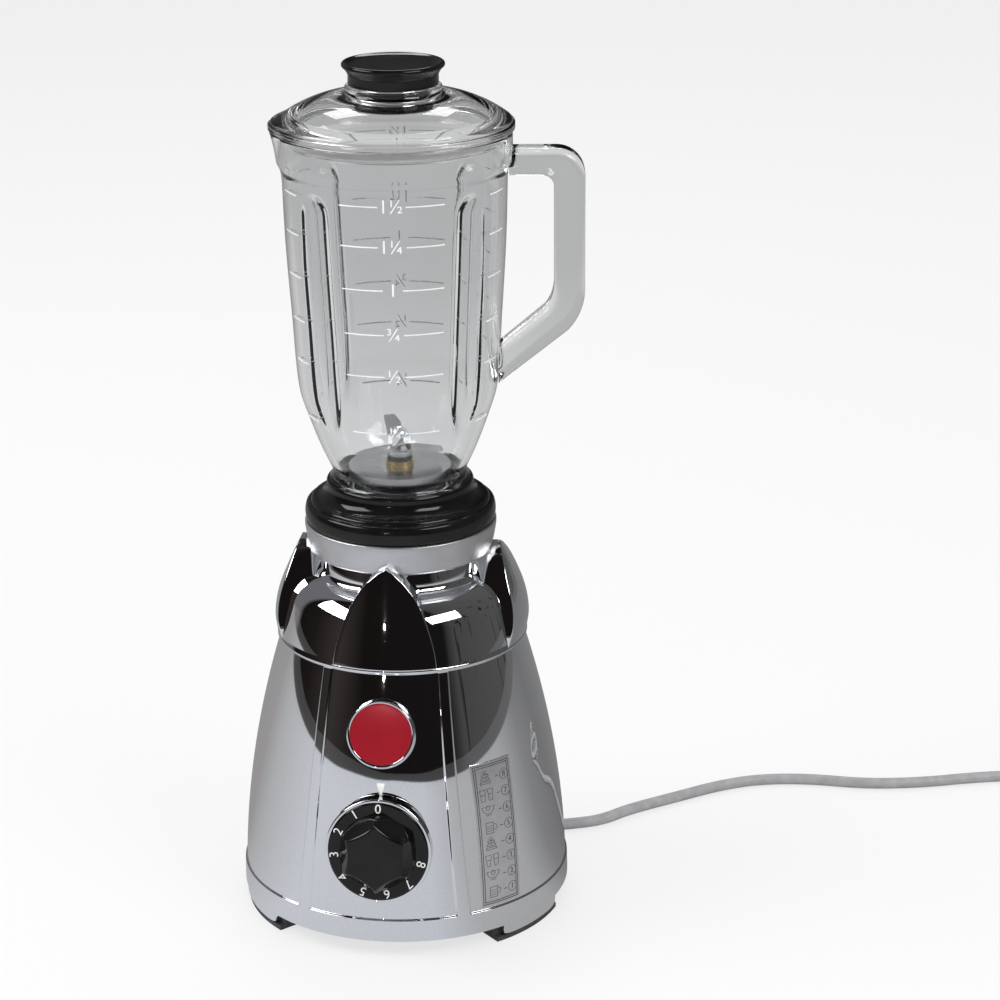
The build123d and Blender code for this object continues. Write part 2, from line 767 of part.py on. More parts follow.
def make_speed_control():
    """A switch case behind the panel, open inside for the wiper."""
    back = -control_set_back - control_depth
    case = Pos(0, 0, (back - control_set_back) / 2) * Box(control_size, control_size, control_depth)
    case = fillet(case.edges().filter_by(Axis.Z), core_corner)
    case -= disc(control_size / 2 - 2 * control_wall, back + control_wall, -control_set_back - control_wall)
    case -= disc(bush_bore, -control_set_back - control_wall - 1, -control_set_back + 1)
    return on(dial_frame, case)


parts["speed_control"] = make_speed_control()
contact_floor = -control_set_back - control_depth + control_wall
contact = Pos(contact_circle, 0, 0) * tube(0, contact_radius, contact_floor, contact_floor + contact_depth)
parts["speed_contacts"] = Compound([on(dial_frame, Rot(0, 0, 90 + contact_pitch * i) * contact)
                                    for i in range(contact_count)])
shaft_end = contact_floor + contact_depth + clear
grip_floor = dial_face + dial_shaft_in
parts["control_shaft"] = on(dial_frame, disc(dial_shaft_radius, shaft_end, grip_floor))
wiper_reach = wiper_hub - 1 + wiper_arm[1] / 2
wiper_disc = disc(wiper_hub, shaft_end, shaft_end + wiper_arm[2], dial_shaft_radius)
parts["control_wiper"] = on(dial_frame, wiper_disc + block(wiper_arm, (0, wiper_reach), shaft_end))


def make_grip():
    """A grip with a round foot, whose six flanks are scooped in towards the top."""
    flank_lean = math.degrees(math.atan2(grip_foot_radius - grip_flank, grip_height))
    grip = Pos(0, 0, grip_height / 2) * Cylinder(grip_foot_radius, grip_height)
    scoop = Cylinder(grip_hollow, 4 * grip_height)
    scoop = Pos(grip_foot_radius, 0, 0) * Rot(0, -flank_lean, 0) * Pos(grip_hollow, 0, 0) * scoop
    for angle in around(grip_lobes, 90 + 180 / grip_lobes):
        grip -= Rot(0, 0, angle) * scoop
    return fillet(grip.edges().group_by(Axis.Z)[-1], grip_edge)


def make_dial_knob():
    knob = disc(dial_radius, dial_back, dial_face) + Pos(0, 0, dial_face) * make_grip()
    knob -= disc(dial_shaft_radius, dial_back, grip_floor)
    return on(dial_frame, knob)


parts["dial_knob"] = make_dial_knob()
parts["dial_trim"] = on(dial_frame, disc(dial_trim_radius, dial_back, dial_face - trim_drop, dial_radius))

badge_floor = badge_standoff - badge_disc_thick
parts["badge_rim"] = on(badge_frame, disc(badge_radius, badge_back, badge_standoff)
                        - disc(badge_disc_radius, badge_floor, badge_standoff)
                        + disc(badge_stud, -wall - 2, badge_back))
parts["badge_disc"] = on(badge_frame, disc(badge_disc_radius, badge_floor, badge_standoff))


def make_pointer():
    corners_here = ((-pointer_half_width, 0, pointer_top_z), (pointer_half_width, 0, pointer_top_z),
                    (pointer_tip, 0, pointer_bottom_z), (-pointer_tip, 0, pointer_bottom_z))
    outline = make_face(Polyline(*corners_here, corners_here[0]))
    prism = extrude(outline, rim_radius + wall, dir=(0, -1, 0))
    return prism & skirt_skin(panel_recess, panel_recess - pointer_proud, panel_bottom_z, waist_z)


parts["index_pointer"] = make_pointer()
guide_top_z = guide_bottom_z + guide_height
guide_cut = Rot(0, 0, guide_angle) * Pos(rim_radius, 0, (guide_bottom_z + guide_top_z) / 2) * Box(
    rim_radius, guide_width, guide_height)
parts["guide_plate"] = guide_cut & skirt_skin(panel_recess, panel_recess - guide_thick,
                                              panel_bottom_z, waist_z)

# ---------------------------------------------------------------- fittings inside the base
parts["terminal_block"] = block(terminal_box, terminal_place, plate_top_z)
parts["suppressor_capacitor"] = Pos(capacitor_place[0], capacitor_place[1],
                                    plate_top_z + capacitor_radius) * Rot(0, 90, 0) * Cylinder(
    capacitor_radius, capacitor_length)
parts["cord_clamp"] = block(clamp_box, clamp_place, plate_top_z)
lead_top_z = lower_bracket_z + lead_rise
lead_y = terminal_place[1] - terminal_box[1] / 2
lead_bottom_z = plate_top_z + terminal_box[2]
parts["internal_leads"] = Compound([
    Pos(terminal_place[0] + x, lead_y + 2 * lead_radius, (lead_bottom_z + lead_top_z) / 2) * Cylinder(
        lead_radius, lead_top_z - lead_bottom_z) for x in lead_places])


# ---------------------------------------------------------------- lead and plug
def cord_bends(route):
    """The radius of each bend: the largest that its two runs allow."""
    points = [Vector(*p) for p in route]
    radii = []
    for before, here, after in zip(points, points[1:], points[2:]):
        into, out = here - before, after - here
        half_turn = math.radians(into.get_angle(out)) / 2
        radii.append(arc_share * min(into.length, out.length) / math.tan(half_turn))
    return radii


bends = cord_bends(cord_route)
print("cord bend radii, mm:", [round(r) for r in bends])
cord_path = FilletPolyline(*cord_route, radius=bends)
print("cord tube length, mm:", round(cord_path.length, 1))
cord_section = Plane(origin=cord_path @ 0, z_dir=cord_path % 0) * Circle(cord_radius)
parts["cord"] = sweep(cord_section, path=cord_path)
straight_volume = math.pi * cord_radius ** 2 * cord_path.length
print("cord volume ratio:", round(parts["cord"].volume / straight_volume, 4))

gland_line = Vector(*cord_route[0]) - Vector(*gland_start)
gland_plane = Plane(origin=gland_start, z_dir=gland_line)
parts["cord_gland"] = gland_plane.location * Pos(0, 0, gland_line.length / 2) * Cone(
    gland_root, gland_tip, gland_line.length)

coil_ring = tube(coil_inner, coil_outer, coil_bottom_z, coil_top_z)
coil_ring = fillet(coil_ring.edges().filter_by(GeomType.CIRCLE), coil_edge)
parts["cord_coil"] = Pos(coil_centre[0], coil_centre[1], 0) * coil_ring

plug_plane = Plane(origin=(plug_axis[0], plug_start_y, plug_axis[1]), x_dir=(1, 0, 0), z_dir=(0, 1, 0))
plug_end = plug_sleeve + plug_length
plug_wide = plug_sleeve + plug_taper
plug = (Pos(0, 0, plug_sleeve / 2) * Cone(*sleeve_radii, plug_sleeve)
        + Pos(0, 0, plug_sleeve + plug_taper / 2) * Cone(plug_shoulder, plug_radius, plug_taper)
        + tube(0, plug_radius, plug_wide, plug_end))
parts["plug_body"] = plug_plane.location * plug
pin_spots = ((-pin_pitch, 0), (pin_pitch, 0), (0, pin_offset))
parts["plug_pins"] = Compound([plug_plane.location * Pos(x, y, plug_end + pin_length / 2)
                               * Cylinder(pin_radius, pin_length) for x, y in pin_spots])


# ---------------------------------------------------------------- jar collar and blade unit
def make_collar():
    """A turned collar: rolled flange, stepped bead, hollow neck and a shelf inside."""
    curves = [[at(collar_radius - inward, collar_seat_z + up) for inward, up in points]
              for points in (collar_roll, collar_step, collar_bead, collar_sweep, collar_lip)]
    brim, lip = curves[0][0], curves[-1][-1]
    blank = turned(
        Line(at(0, collar_seat_z), brim),
        *[ThreePointArc(*points) for points in curves],
        Line(lip, at(0, collar_top_z)),
        Line(at(0, collar_top_z), at(0, collar_seat_z)),
    )
    sleeve_radius = ring_bore - clear
    sleeve_z = deck_z + ring_step + clear
    blank += tube(0, sleeve_radius, sleeve_z, collar_seat_z)
    shelf_bottom = collar_shelf_z - collar_shelf_thick
    blank -= tube(0, sleeve_radius - sleeve_wall, sleeve_z, shelf_bottom)
    blank -= tube(0, collar_shelf_hole, shelf_bottom, collar_shelf_z)
    blank -= tube(0, collar_bore, collar_shelf_z, collar_top_z)
    return blank - tube(0, collar_mouth, jar_bottom_z - clear, collar_top_z)


parts["jar_collar"] = make_collar()
plate_edge = collar_bore - clear
plate_hole = drum_radius - drum_wall
parts["blade_plate"] = (tube(plate_hole, plate_edge, collar_shelf_z, gasket_z)
                        + tube(plate_hole, drum_radius, collar_shelf_z, drum_top_z)
                        + tube(blade_bearing_radius, drum_radius, drum_top_z - drum_wall, drum_top_z))
parts["jar_gasket"] = tube(gasket_inner, plate_edge, gasket_z, gasket_z + gasket_thick)
bearing_bore = shaft_radius + running
drum_ceiling = drum_top_z - drum_wall
collar_out, collar_deep = bearing_collar
parts["blade_bearing"] = (
    tube(bearing_bore, blade_bearing_radius, blade_bearing_bottom_z, blade_bearing_top_z)
    + tube(bearing_bore, blade_bearing_radius + collar_out, drum_ceiling - collar_deep, drum_ceiling))
parts["shaft_seal"] = tube(bearing_bore, blade_bearing_radius - 1,
                           blade_bearing_top_z, blade_bearing_top_z + seal_height)

blade_top_z = blade_z + 2 * blade_thick + nut_height
shaft_top_z = blade_top_z - shaft_short
parts["blade_shaft"] = tube(0, shaft_radius, driven_z, shaft_top_z)
parts["blade_spacer"] = tube(shaft_radius, spacer_radius, blade_z - spacer_height, blade_z)


def make_blade(bottom, turn, bend):
    """A flat bar with a hub, whose two wings are bent by the angle bend and cut back along one edge."""
    blade = Pos(0, 0, bottom + blade_thick / 2) * Box(2 * blade_hub, blade_width, blade_thick)
    wing_length = (blade_reach - blade_hub) / math.cos(math.radians(bend)) + blade_overlap
    wing = extrude(make_face(Polyline((0, -blade_width / 2), (wing_length * 0.7, -blade_width / 2),
                                      (wing_length, -blade_width / 5), (wing_length, blade_width / 2),
                                      (0, blade_width / 2), (0, -blade_width / 2))), blade_thick)
    for side in (0, 180):
        blade += Rot(0, 0, side) * Pos(blade_hub - blade_overlap, 0, bottom) * Rot(0, -bend, 0) * wing
    return Rot(0, 0, turn) * (blade - tube(0, shaft_radius, bottom - 1, bottom + blade_thick + 1))


parts["lower_blade"] = make_blade(blade_z, lower_blade_turn, -blade_bend / 3)
parts["upper_blade"] = make_blade(blade_z + blade_thick, upper_blade_turn, blade_bend)
nut_z = blade_z + 2 * blade_thick
nut_cap = tube(0, nut_size, blade_top_z, blade_top_z + nut_dome) & (Pos(0, 0, blade_top_z) * Sphere(nut_dome))
parts["blade_nut"] = (Pos(0, 0, nut_z) * extrude(RegularPolygon(nut_size, 6), nut_height) + nut_cap
                      - tube(0, shaft_radius, nut_z - 1, shaft_top_z))


def make_driven_coupling():
    piece = tube(shaft_radius, coupling_radius, driven_z, driven_z + coupling_disc)
    for angle in around(dog_count, 180.0 / dog_count):
        piece += dog(driven_z - dog_height, angle)
    return piece


parts["driven_coupling"] = make_driven_coupling()


# ---------------------------------------------------------------- glass jar
def below_rim(radius, depth, inset=0.0):
    return at(radius - inset, jar_top_z - depth)


def jar_form(inset):
    """The jar's turned form drawn in by inset, with its rim band, neck and, outside, its foot."""
    top = jar_top_z + inset
    bottom = jar_bottom_z - inset
    neck = at(jar_neck_radius - inset, jar_bottom_z + jar_neck_height)
    if inset:
        foot = [Line(at(0, bottom), at(neck[0], bottom)), Line(at(neck[0], bottom), neck)]
    else:
        step = at(jar_foot_radius, jar_bottom_z + jar_foot_height)
        cove = at(jar_foot_cove[0], jar_bottom_z + jar_foot_cove[1])
        foot = [Line(at(0, bottom), at(jar_foot_radius, bottom)), Line(at(jar_foot_radius, bottom), step),
                ThreePointArc(step, cove, neck)]
    wall_points = [below_rim(radius, depth, inset) for radius, depth in jar_outline]
    rim = below_rim(jar_rim_radius, jar_rim_depth, inset)
    return turned(
        *foot,
        Spline(neck, *reversed(wall_points)),
        Line(wall_points[0], rim),
        Line(rim, at(rim[0], top)),
        Line(at(rim[0], top), at(0, top)),
        Line(at(0, top), at(0, bottom)),
    )


def flute_tools(extra):
    """Rounded tools along the wall that press the four flutes; extra widens them for the inside."""
    radius = (flute_width ** 2 / 4 + flute_depth ** 2) / (2 * flute_depth)
    length = flute_bottom - flute_top
    axis_radius = jar_outline[0][0] + radius - flute_depth
    tool = Pos(0, 0, -length / 2) * Cylinder(radius + extra, length) + Sphere(radius + extra)
    tool = Pos(axis_radius, 0, jar_top_z - flute_top) * Rot(0, flute_lean, 0) * tool
    return [Rot(0, 0, angle) * tool for angle in around(flute_count, 45)]


def spout_form(inset):
    """The pouring lip: a wide cone that leaves the wall opposite the handle."""
    low = jar_top_z - spout_depth + 2 * inset
    high = jar_top_z + inset
    return Pos(-spout_centre, 0, (low + high) / 2) * Cone(
        spout_radii[0] - inset, spout_radii[1] - inset, high - low)


def make_handle():
    """Top arm, upright bar and sloping lower arm as one outline of the jar's glass."""
    start = jar_rim_radius - jar_wall
    arm_low = handle_top_z - handle_arm
    bend_z = jar_top_z - handle_bend
    corner = handle_reach - handle_corner
    turn_in = handle_corner * (1 - math.sqrt(0.5))
    inner_corner = handle_inner - handle_inner_corner
    inner_turn = handle_inner_corner * (1 - math.sqrt(0.5))
    corner_z, inner_corner_z = handle_top_z - handle_corner, arm_low - handle_inner_corner
    knee, foot = below_rim(*handle_knee), below_rim(*handle_foot)
    foot_inner, inner_knee = below_rim(*handle_foot_inner), below_rim(*handle_inner_knee)
    outline = make_face([
        Line(at(start, handle_top_z), at(corner, handle_top_z)),
        ThreePointArc(at(corner, handle_top_z), at(handle_reach - turn_in, handle_top_z - turn_in),
                      at(handle_reach, corner_z)),
        Line(at(handle_reach, corner_z), at(handle_reach, bend_z)),
        ThreePointArc(at(handle_reach, bend_z), below_rim(*handle_bend_middle), knee),
        Line(knee, foot),
        Line(foot, foot_inner),
        Line(foot_inner, inner_knee),
        Line(inner_knee, at(handle_inner, bend_z)),
        Line(at(handle_inner, bend_z), at(handle_inner, inner_corner_z)),
        ThreePointArc(at(handle_inner, inner_corner_z), at(handle_inner - inner_turn, arm_low - inner_turn),
                      at(inner_corner, arm_low)),
        Line(at(inner_corner, arm_low), at(start, arm_low)),
        Line(at(start, arm_low), at(start, handle_top_z)),
    ])
    return extrude(outline, handle_width / 2, dir=(0, 1, 0), both=True)


def make_jar():
    jar = jar_form(0) + spout_form(0) + make_handle()
    for tool in flute_tools(0):
        jar -= tool
    cavity = jar_form(jar_wall) + spout_form(jar_wall)
    for tool in flute_tools(jar_wall):
        cavity -= tool
    return Rot(0, 0, jar_turn) * (jar - cavity)


parts["glass_jar"] = make_jar()


# ---------------------------------------------------------------- lid and stopper
def dome_form(drop):
    """Everything under the lid's dome, lowered by drop."""
    edge, middle, top = [at(radius, lid_z + up - drop) for radius, up in lid_dome]
    low = lid_z - lid_plug_depth - drop
    return turned(
        Line(at(0, low), at(edge[0], low)),
        Line(at(edge[0], low), edge),
        ThreePointArc(edge, middle, top),
        Line(top, at(0, top[2])),
        Line(at(0, top[2]), at(0, low)),
    )


def make_lid():
    flange_top = lid_z + lid_flange
    plug_z = lid_z - lid_plug_depth
    lid = tube(0, lid_radius, lid_z, flange_top)
    lid += Pos(-lid_lip_centre, 0, 0) * tube(0, lid_lip_radius, lid_z, flange_top)
    lid += dome_form(0) - tube(0, lid_radius + 1, plug_z - 1, lid_z)
    lid += tube(0, lid_neck_radius, lid_z, lid_neck_z)
    lid += tube(0, lid_plug_radius, plug_z, lid_z)
    lid -= dome_form(lid_wall) & tube(0, lid_plug_radius - lid_wall, plug_z, lid_neck_z)
    return Rot(0, 0, jar_turn) * (lid - tube(0, lid_hole, lid_z, lid_neck_z))


parts["jar_lid"] = make_lid()
parts["lid_seal"] = tube(lid_plug_radius, seal_radius, lid_z - lid_seal_height - clear, lid_z - clear)


def make_stopper():
    """A black cap with a flared brim and a dished top, hollow below."""
    brim, edge, dish = [[at(radius, stopper_seat_z + up) for radius, up in points]
                        for points in (stopper_brim, stopper_edge, stopper_dish)]
    cap = turned(
        Line(at(0, stopper_seat_z), at(stopper_band_radius, stopper_seat_z)),
        Line(at(stopper_band_radius, stopper_seat_z), brim[0]),
        ThreePointArc(*brim),
        ThreePointArc(*edge),
        ThreePointArc(*dish),
        Line(dish[-1], at(0, dish[-1][2])),
        Line(at(0, dish[-1][2]), at(0, stopper_seat_z)),
    )
    plug_radius_here = lid_hole - clear
    plug_z = stopper_seat_z - stopper_plug_depth
    cap += tube(0, plug_radius_here, plug_z, stopper_seat_z)
    return cap - tube(0, plug_radius_here - stopper_wall, plug_z, stopper_seat_z + stopper_wall)


parts["lid_stopper"] = make_stopper()

# ---------------------------------------------------------------- writing
os.makedirs("parts", exist_ok=True)
for name, shape in parts.items():
    export_step(shape, f"parts/{name}.step")
print("nodes:", len(parts))
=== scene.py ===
import math

import bmesh
import bpy
from mathutils import Matrix, Vector


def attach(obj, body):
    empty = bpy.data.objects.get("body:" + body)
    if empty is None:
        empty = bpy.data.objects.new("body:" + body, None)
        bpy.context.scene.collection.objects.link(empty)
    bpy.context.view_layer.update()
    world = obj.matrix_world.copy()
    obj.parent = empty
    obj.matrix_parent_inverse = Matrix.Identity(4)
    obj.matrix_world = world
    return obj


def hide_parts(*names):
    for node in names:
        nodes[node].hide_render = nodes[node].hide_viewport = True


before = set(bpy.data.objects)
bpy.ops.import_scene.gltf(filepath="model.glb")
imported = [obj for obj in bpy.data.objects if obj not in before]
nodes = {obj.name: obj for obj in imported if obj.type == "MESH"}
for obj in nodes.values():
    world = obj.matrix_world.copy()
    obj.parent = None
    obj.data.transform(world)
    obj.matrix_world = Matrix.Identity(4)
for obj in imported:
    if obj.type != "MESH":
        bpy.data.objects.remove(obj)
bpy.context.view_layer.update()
mm = 0.001
print("frame loaded:", len(nodes), "nodes")

# camera: place in metres, angles in degrees, focal length in pixels of a 1000 pixel frame
cameraSet = {
    "place": (0.26812, -1.64124, 0.819),
    "azimuth": 7.3,
    "pitch": 19.08,
    "roll": -0.35,
    "focal": 3047.0,
    "imageWidth": 1000.0,
    "sensor": 36.0,
}


def placed(name, data):   # a new object in the scene
    made = bpy.data.objects.new(name, data)
    bpy.context.scene.collection.objects.link(made)
    return made


def makeCamera(look):
    turn, tilt, roll = (math.radians(look[key]) for key in ("azimuth", "pitch", "roll"))
    level = Vector((-math.sin(turn), math.cos(turn), 0))
    ahead = level * math.cos(tilt) - Vector((0, 0, math.sin(tilt)))
    right = Vector((math.cos(turn), math.sin(turn), 0))
    up = right.cross(ahead)
    right, up = (right * math.cos(roll) + up * math.sin(roll), up * math.cos(roll) - right * math.sin(roll))
    data = bpy.data.cameras.new("camera")
    data.sensor_width = look["sensor"]
    data.lens = look["focal"] * look["sensor"] / look["imageWidth"]
    camera = placed("camera", data)
    turned = Matrix((right, up, -ahead)).transposed().to_4x4()
    camera.matrix_world = Matrix.Translation(look["place"]) @ turned
    bpy.context.scene.camera = camera


makeCamera(cameraSet)
print("camera set")


def worked(operation, swapped=False):   # how a wire takes a sign of arithmetic
    return lambda wire, other: wire.calc(operation, *((other, wire) if swapped else (wire, other)))


# a socket that takes part in plain arithmetic, in shader and geometry trees alike
class Wire:
    def __init__(self, tree, socket=None):
        self.tree, self.socket = tree, socket

    def node(self, kind, settings=None, sockets=None, out=0):
        made = self.tree.nodes.new(kind)
        for key, value in (settings or {}).items():
            if key == "stops":
                ramp = made.color_ramp.elements
                while len(ramp) < len(value):
                    ramp.new(0.5)
                for stop, (place, shade) in zip(ramp, value):
                    stop.position, stop.color = place, shade
            else:
                setattr(made, key, value)
        for key, value in (sockets or {}).items():
            if isinstance(value, Wire):
                self.tree.links.new(value.socket, made.inputs[key])
            else:
                made.inputs[key].default_value = value
        return Wire(self.tree, made.outputs[out]) if len(made.outputs) else None

    def outs(self, *keys):   # other outputs of the same node
        return [Wire(self.tree, self.socket.node.outputs[key]) for key in keys]

    def calc(self, operation, *values):
        return self.node("ShaderNodeMath", {"operation": operation}, dict(enumerate(values)))

    __add__ = __radd__ = worked("ADD")
    __mul__ = __rmul__ = worked("MULTIPLY")
    __sub__, __rsub__ = worked("SUBTRACT"), worked("SUBTRACT", True)
    __truediv__, __pow__ = worked("DIVIDE"), worked("POWER")

    def step(self, low, high):   # 0 below low, 1 above high, smooth between
        return self.node("ShaderNodeMapRange", {"interpolation_type": "SMOOTHSTEP"},
                         {"Value": self, "From Min": low, "From Max": high})

    def blend(self, first, second):   # a colour, by this wire as the share of the second
        return self.node("ShaderNodeMix", {"data_type": "RGBA"}, {0: self, 6: first, 7: second}, out=2)


def cleanBench(holder):   # an empty node tree in a material or a world
    holder.use_nodes = True
    holder.node_tree.nodes.clear()
    return Wire(holder.node_tree)


def rgb(*parts):
    return (*parts, 1.0)


def grey(level):
    return rgb(level, level, level)


def noise(bench, scale, detail=3.0, stretch=None):
    place = bench.node("ShaderNodeTexCoord", out="Object")
    if stretch:
        place = bench.node("ShaderNodeMapping", {}, {"Vector": place, "Scale": stretch})
    return bench.node("ShaderNodeTexNoise", {}, {"Vector": place, "Scale": scale, "Detail": detail})


def newFinish(name, recipe, look):
    material = bpy.data.materials.new(name)
    bench = cleanBench(material)
    shader = bench.node("ShaderNodeBsdfPrincipled", {}, recipe(bench, look))
    bench.node("ShaderNodeOutputMaterial", {}, {"Surface": shader})
    return material


# world and floor: a pale table in a studio with dark walls, as bright metal shows it; for metal the floor
# shows painted reflection shades, not its own pale colour
# walls and tables give colours by direction on the ground: 0 degrees is the front, 90 the right
studio = {
    "walls": ((-180, grey(0.01)), (-150, rgb(0.15, 0.145, 0.155)), (-110, rgb(0.15, 0.145, 0.155)),
              (-104, rgb(0.008, 0.006, 0.006)), (-82, rgb(0.012, 0.010, 0.009)),
              (-52, rgb(0.035, 0.03, 0.028)), (-27, rgb(0.008, 0.006, 0.006)),
              (48, rgb(0.008, 0.007, 0.007)), (58, grey(0.06)), (90, grey(0.075)), (140, grey(0.09)),
              (155, grey(0.09)), (180, grey(0.01))),
    "tables": ((-180, grey(0.20)), (-115, rgb(0.27, 0.255, 0.255)), (-97, rgb(0.38, 0.385, 0.39)),
               (-52, rgb(0.56, 0.575, 0.61)), (22, rgb(0.53, 0.55, 0.59)), (42, rgb(0.39, 0.39, 0.395)),
               (82, grey(0.34)), (105, grey(0.17)), (127, grey(0.11)), (180, grey(0.18))),
    "streaks": {"from": (0.5, 0.8), "share": 0.85, "shade": grey(0.006), "scale": 14.0,
                "stretch": (1.0, 1.0, 0.1), "width": (0.33, 0.42)},   # dark and upright, to the right
    "horizon": (-0.05, -0.035), "horizonLower": 0.03,   # lower by this to the sides
    "paintedWallsFrom": (2.5, 2.8), "sidesNearer": 0.35,       # where the floor turns to a painted dark wall shade for metal, in metres
    "ambient": 0.80,                                    # light on plain surfaces
    "through": (0.70, 0.46), "throughAt": (0.7, 1.5),   # painted grey that glass shows of the floor and world, near and far
    "backdrop": 0.97,
    "floorSize": 9.0, "floorColour": rgb(0.83, 0.83, 0.84), "floorRough": 0.9, "floorSeen": 0.93,
    "shares": (0.75, 0.92, 0.85),                       # of the floor's own shade: camera, metal, glass
}
rayKinds = ("Is Camera Ray", "Is Glossy Ray", "Is Transmission Ray")


def roundShade(bench, x, y, shades):   # a colour by the direction on the ground
    turn = bench.calc("ARCTAN2", x, y * -1)
    stops = [((degrees + 180) / 360, colour) for degrees, colour in shades]
    return bench.node("ShaderNodeValToRGB", {"stops": stops}, {"Fac": turn / math.tau + 0.5})


def makeWorld(look):
    world = bpy.data.worlds.new("studio")
    bpy.context.scene.world = world
    bench = cleanBench(world)
    place = bench.node("ShaderNodeTexCoord", out="Generated")
    x, y, z = bench.node("ShaderNodeSeparateXYZ", {}, {0: place}).outs(0, 1, 2)
    streaks = look["streaks"]
    upright = bench.node("ShaderNodeMapping", {}, {"Vector": place, "Scale": streaks["stretch"]})
    streak = bench.node("ShaderNodeTexNoise", {}, {"Vector": upright, "Scale": streaks["scale"],
                                                   "Detail": 2.0})
    share = (1 - streak.step(*streaks["width"])) * x.step(*streaks["from"]) * streaks["share"]
    walls = share.blend(roundShade(bench, x, y, look["walls"]), streaks["shade"])
    height = z + bench.calc("ABSOLUTE", x) * look["horizonLower"]
    shade = height.step(*look["horizon"]).blend(roundShade(bench, x, y, look["tables"]), walls)
    camera, glossy, passed = bench.node("ShaderNodeLightPath").outs(*rayKinds)
    # rays other than metal see an even light; glass sees a painted grey, the camera the pale backdrop
    for share, level in ((1 - glossy, look["ambient"]), (passed, look["through"][1]),
                         (camera, look["backdrop"])):
        shade = share.blend(shade, grey(level))
    shader = bench.node("ShaderNodeBackground", {}, {"Color": shade, "Strength": 1.0})
    bench.node("ShaderNodeOutputWorld", {}, {"Surface": shader})


def makeFloor(look):
    half = look["floorSize"] / 2
    mesh = bpy.data.meshes.new("floor")
    corners = [(-half, -half, 0), (half, -half, 0), (half, half, 0), (-half, half, 0)]
    mesh.from_pydata(corners, [], [(0, 1, 2, 3)])
    material = bpy.data.materials.new("floor_paint")
    bench = cleanBench(material)
    lit = bench.node("ShaderNodeBsdfPrincipled", {}, {"Base Color": look["floorColour"],
                                                      "Roughness": look["floorRough"]})
    place = bench.node("ShaderNodeTexCoord", out="Object")
    x, y = bench.node("ShaderNodeSeparateXYZ", {}, {0: place}).outs(0, 1)
    rays = bench.node("ShaderNodeLightPath").outs(*rayKinds)
    near, far = look["through"]
    away = (x * x + y * y) ** 0.5 + bench.calc("ABSOLUTE", x) * look["sidesNearer"]
    # for metal the floor paints reflection shades: the tables' greys by direction, then the walls' dark
    # shade further out
    paintedMetalShade = away.step(*look["paintedWallsFrom"]).blend(roundShade(bench, x, y, look["tables"]),
                                                roundShade(bench, x, y, look["walls"]))
    shade = rays[1].blend(grey(look["floorSeen"]), paintedMetalShade)
    # for glass the floor shows a painted grey, darker further back
    shade = rays[2].blend(shade, y.step(*look["throughAt"]).blend(grey(near), grey(far)))
    glow = bench.node("ShaderNodeEmission", {}, {"Color": shade, "Strength": 1.0})
    camera, glossy, passed = (ray * share for ray, share in zip(rays, look["shares"]))
    shader = bench.node("ShaderNodeMixShader", {}, {0: camera + passed + glossy, 1: lit, 2: glow})
    bench.node("ShaderNodeOutputMaterial", {}, {"Surface": shader})
    mesh.materials.append(material)
    floor = placed("floor", mesh)


lamps = {
    "key": {"place": (-1.45, -0.45, 1.45), "size": (1.4, 0.75), "power": 20.0},
    "fill": {"place": (1.2, -0.8, 1.35), "size": (1.0, 0.6), "power": 12.0},
    "back": {"place": (-0.3, 1.6, 1.9), "size": (1.2, 0.5), "power": 10.0},
    "spark": {"place": (-0.23, -1.68, 0.49), "size": (0.03, 0.03), "power": 0.45},
}
lampAim = (0, 0, 0.25)


def makeLamps(look):
    for name, lamp in look.items():
        data = bpy.data.lights.new(name, "AREA")
        data.shape = "RECTANGLE"
        data.size, data.size_y = lamp["size"]
        data.energy = lamp["power"]
        aim = Vector(lampAim) - Vector(lamp["place"])
        turned = aim.to_track_quat("-Z", "Y").to_matrix().to_4x4()
        placed(name, data).matrix_world = Matrix.Translation(lamp["place"]) @ turned


makeWorld(studio)
makeFloor(studio)
makeLamps(lamps)
bpy.context.scene.view_settings.view_transform = "Standard"
print("studio set")


def bumped(bench, strength, high, height, **more):   # high in millimetres
    return bench.node("ShaderNodeBump", {}, {"Strength": strength, "Distance": high * mm,
                                             "Height": height, **more})


def twoTones(pattern, look):
    return pattern.step(0.3, 0.7).blend(look["colour"], look["tone"])


def moulded(bench, look):
    patch = noise(bench, look["grain"])
    fine = noise(bench, look["grain"] * 9, 5.0)
    low, high = look["rough"]
    return {
        "Base Color": twoTones(patch, look),
        "Metallic": look.get("metal", 0.0),
        "Roughness": low + fine * (high - low),
        "Specular IOR Level": look.get("specular", 0.5),
        "Coat Weight": look.get("coat", 0.0),
        "Normal": bumped(bench, 0.5, look["bump"], patch * 0.35 + fine * 0.65),
    }


def chromed(bench, look):   # bright plate: long soft waves of the pressed sheet, then fine polish marks
    wave = noise(bench, look["wave"], 2.0, look["waveStretch"])
    polish = noise(bench, look["polish"], 4.0)
    dust = noise(bench, look["dust"], 2.0).step(0.66, 0.74)
    low, high = look["rough"]
    return {
        "Base Color": twoTones(polish, look),
        "Metallic": 1.0,
        "Roughness": low + polish * (high - low) + dust * look["dustRough"],
        "Normal": bumped(bench, 0.3, look["polishHeight"], polish,
                         Normal=bumped(bench, 1.0, look["waveHeight"], wave)),
    }


def cleared(bench, look):   # pressed glass and clear plastic
    wave = noise(bench, look["wave"], 1.5)
    return {
        "Base Color": twoTones(wave, look),
        "Roughness": noise(bench, look["smear"]).step(0.35, 0.75) * look["rough"],
        "IOR": look["ior"],
        "Transmission Weight": 1.0,
        "Normal": bumped(bench, 1.0, look["bump"], wave),
    }


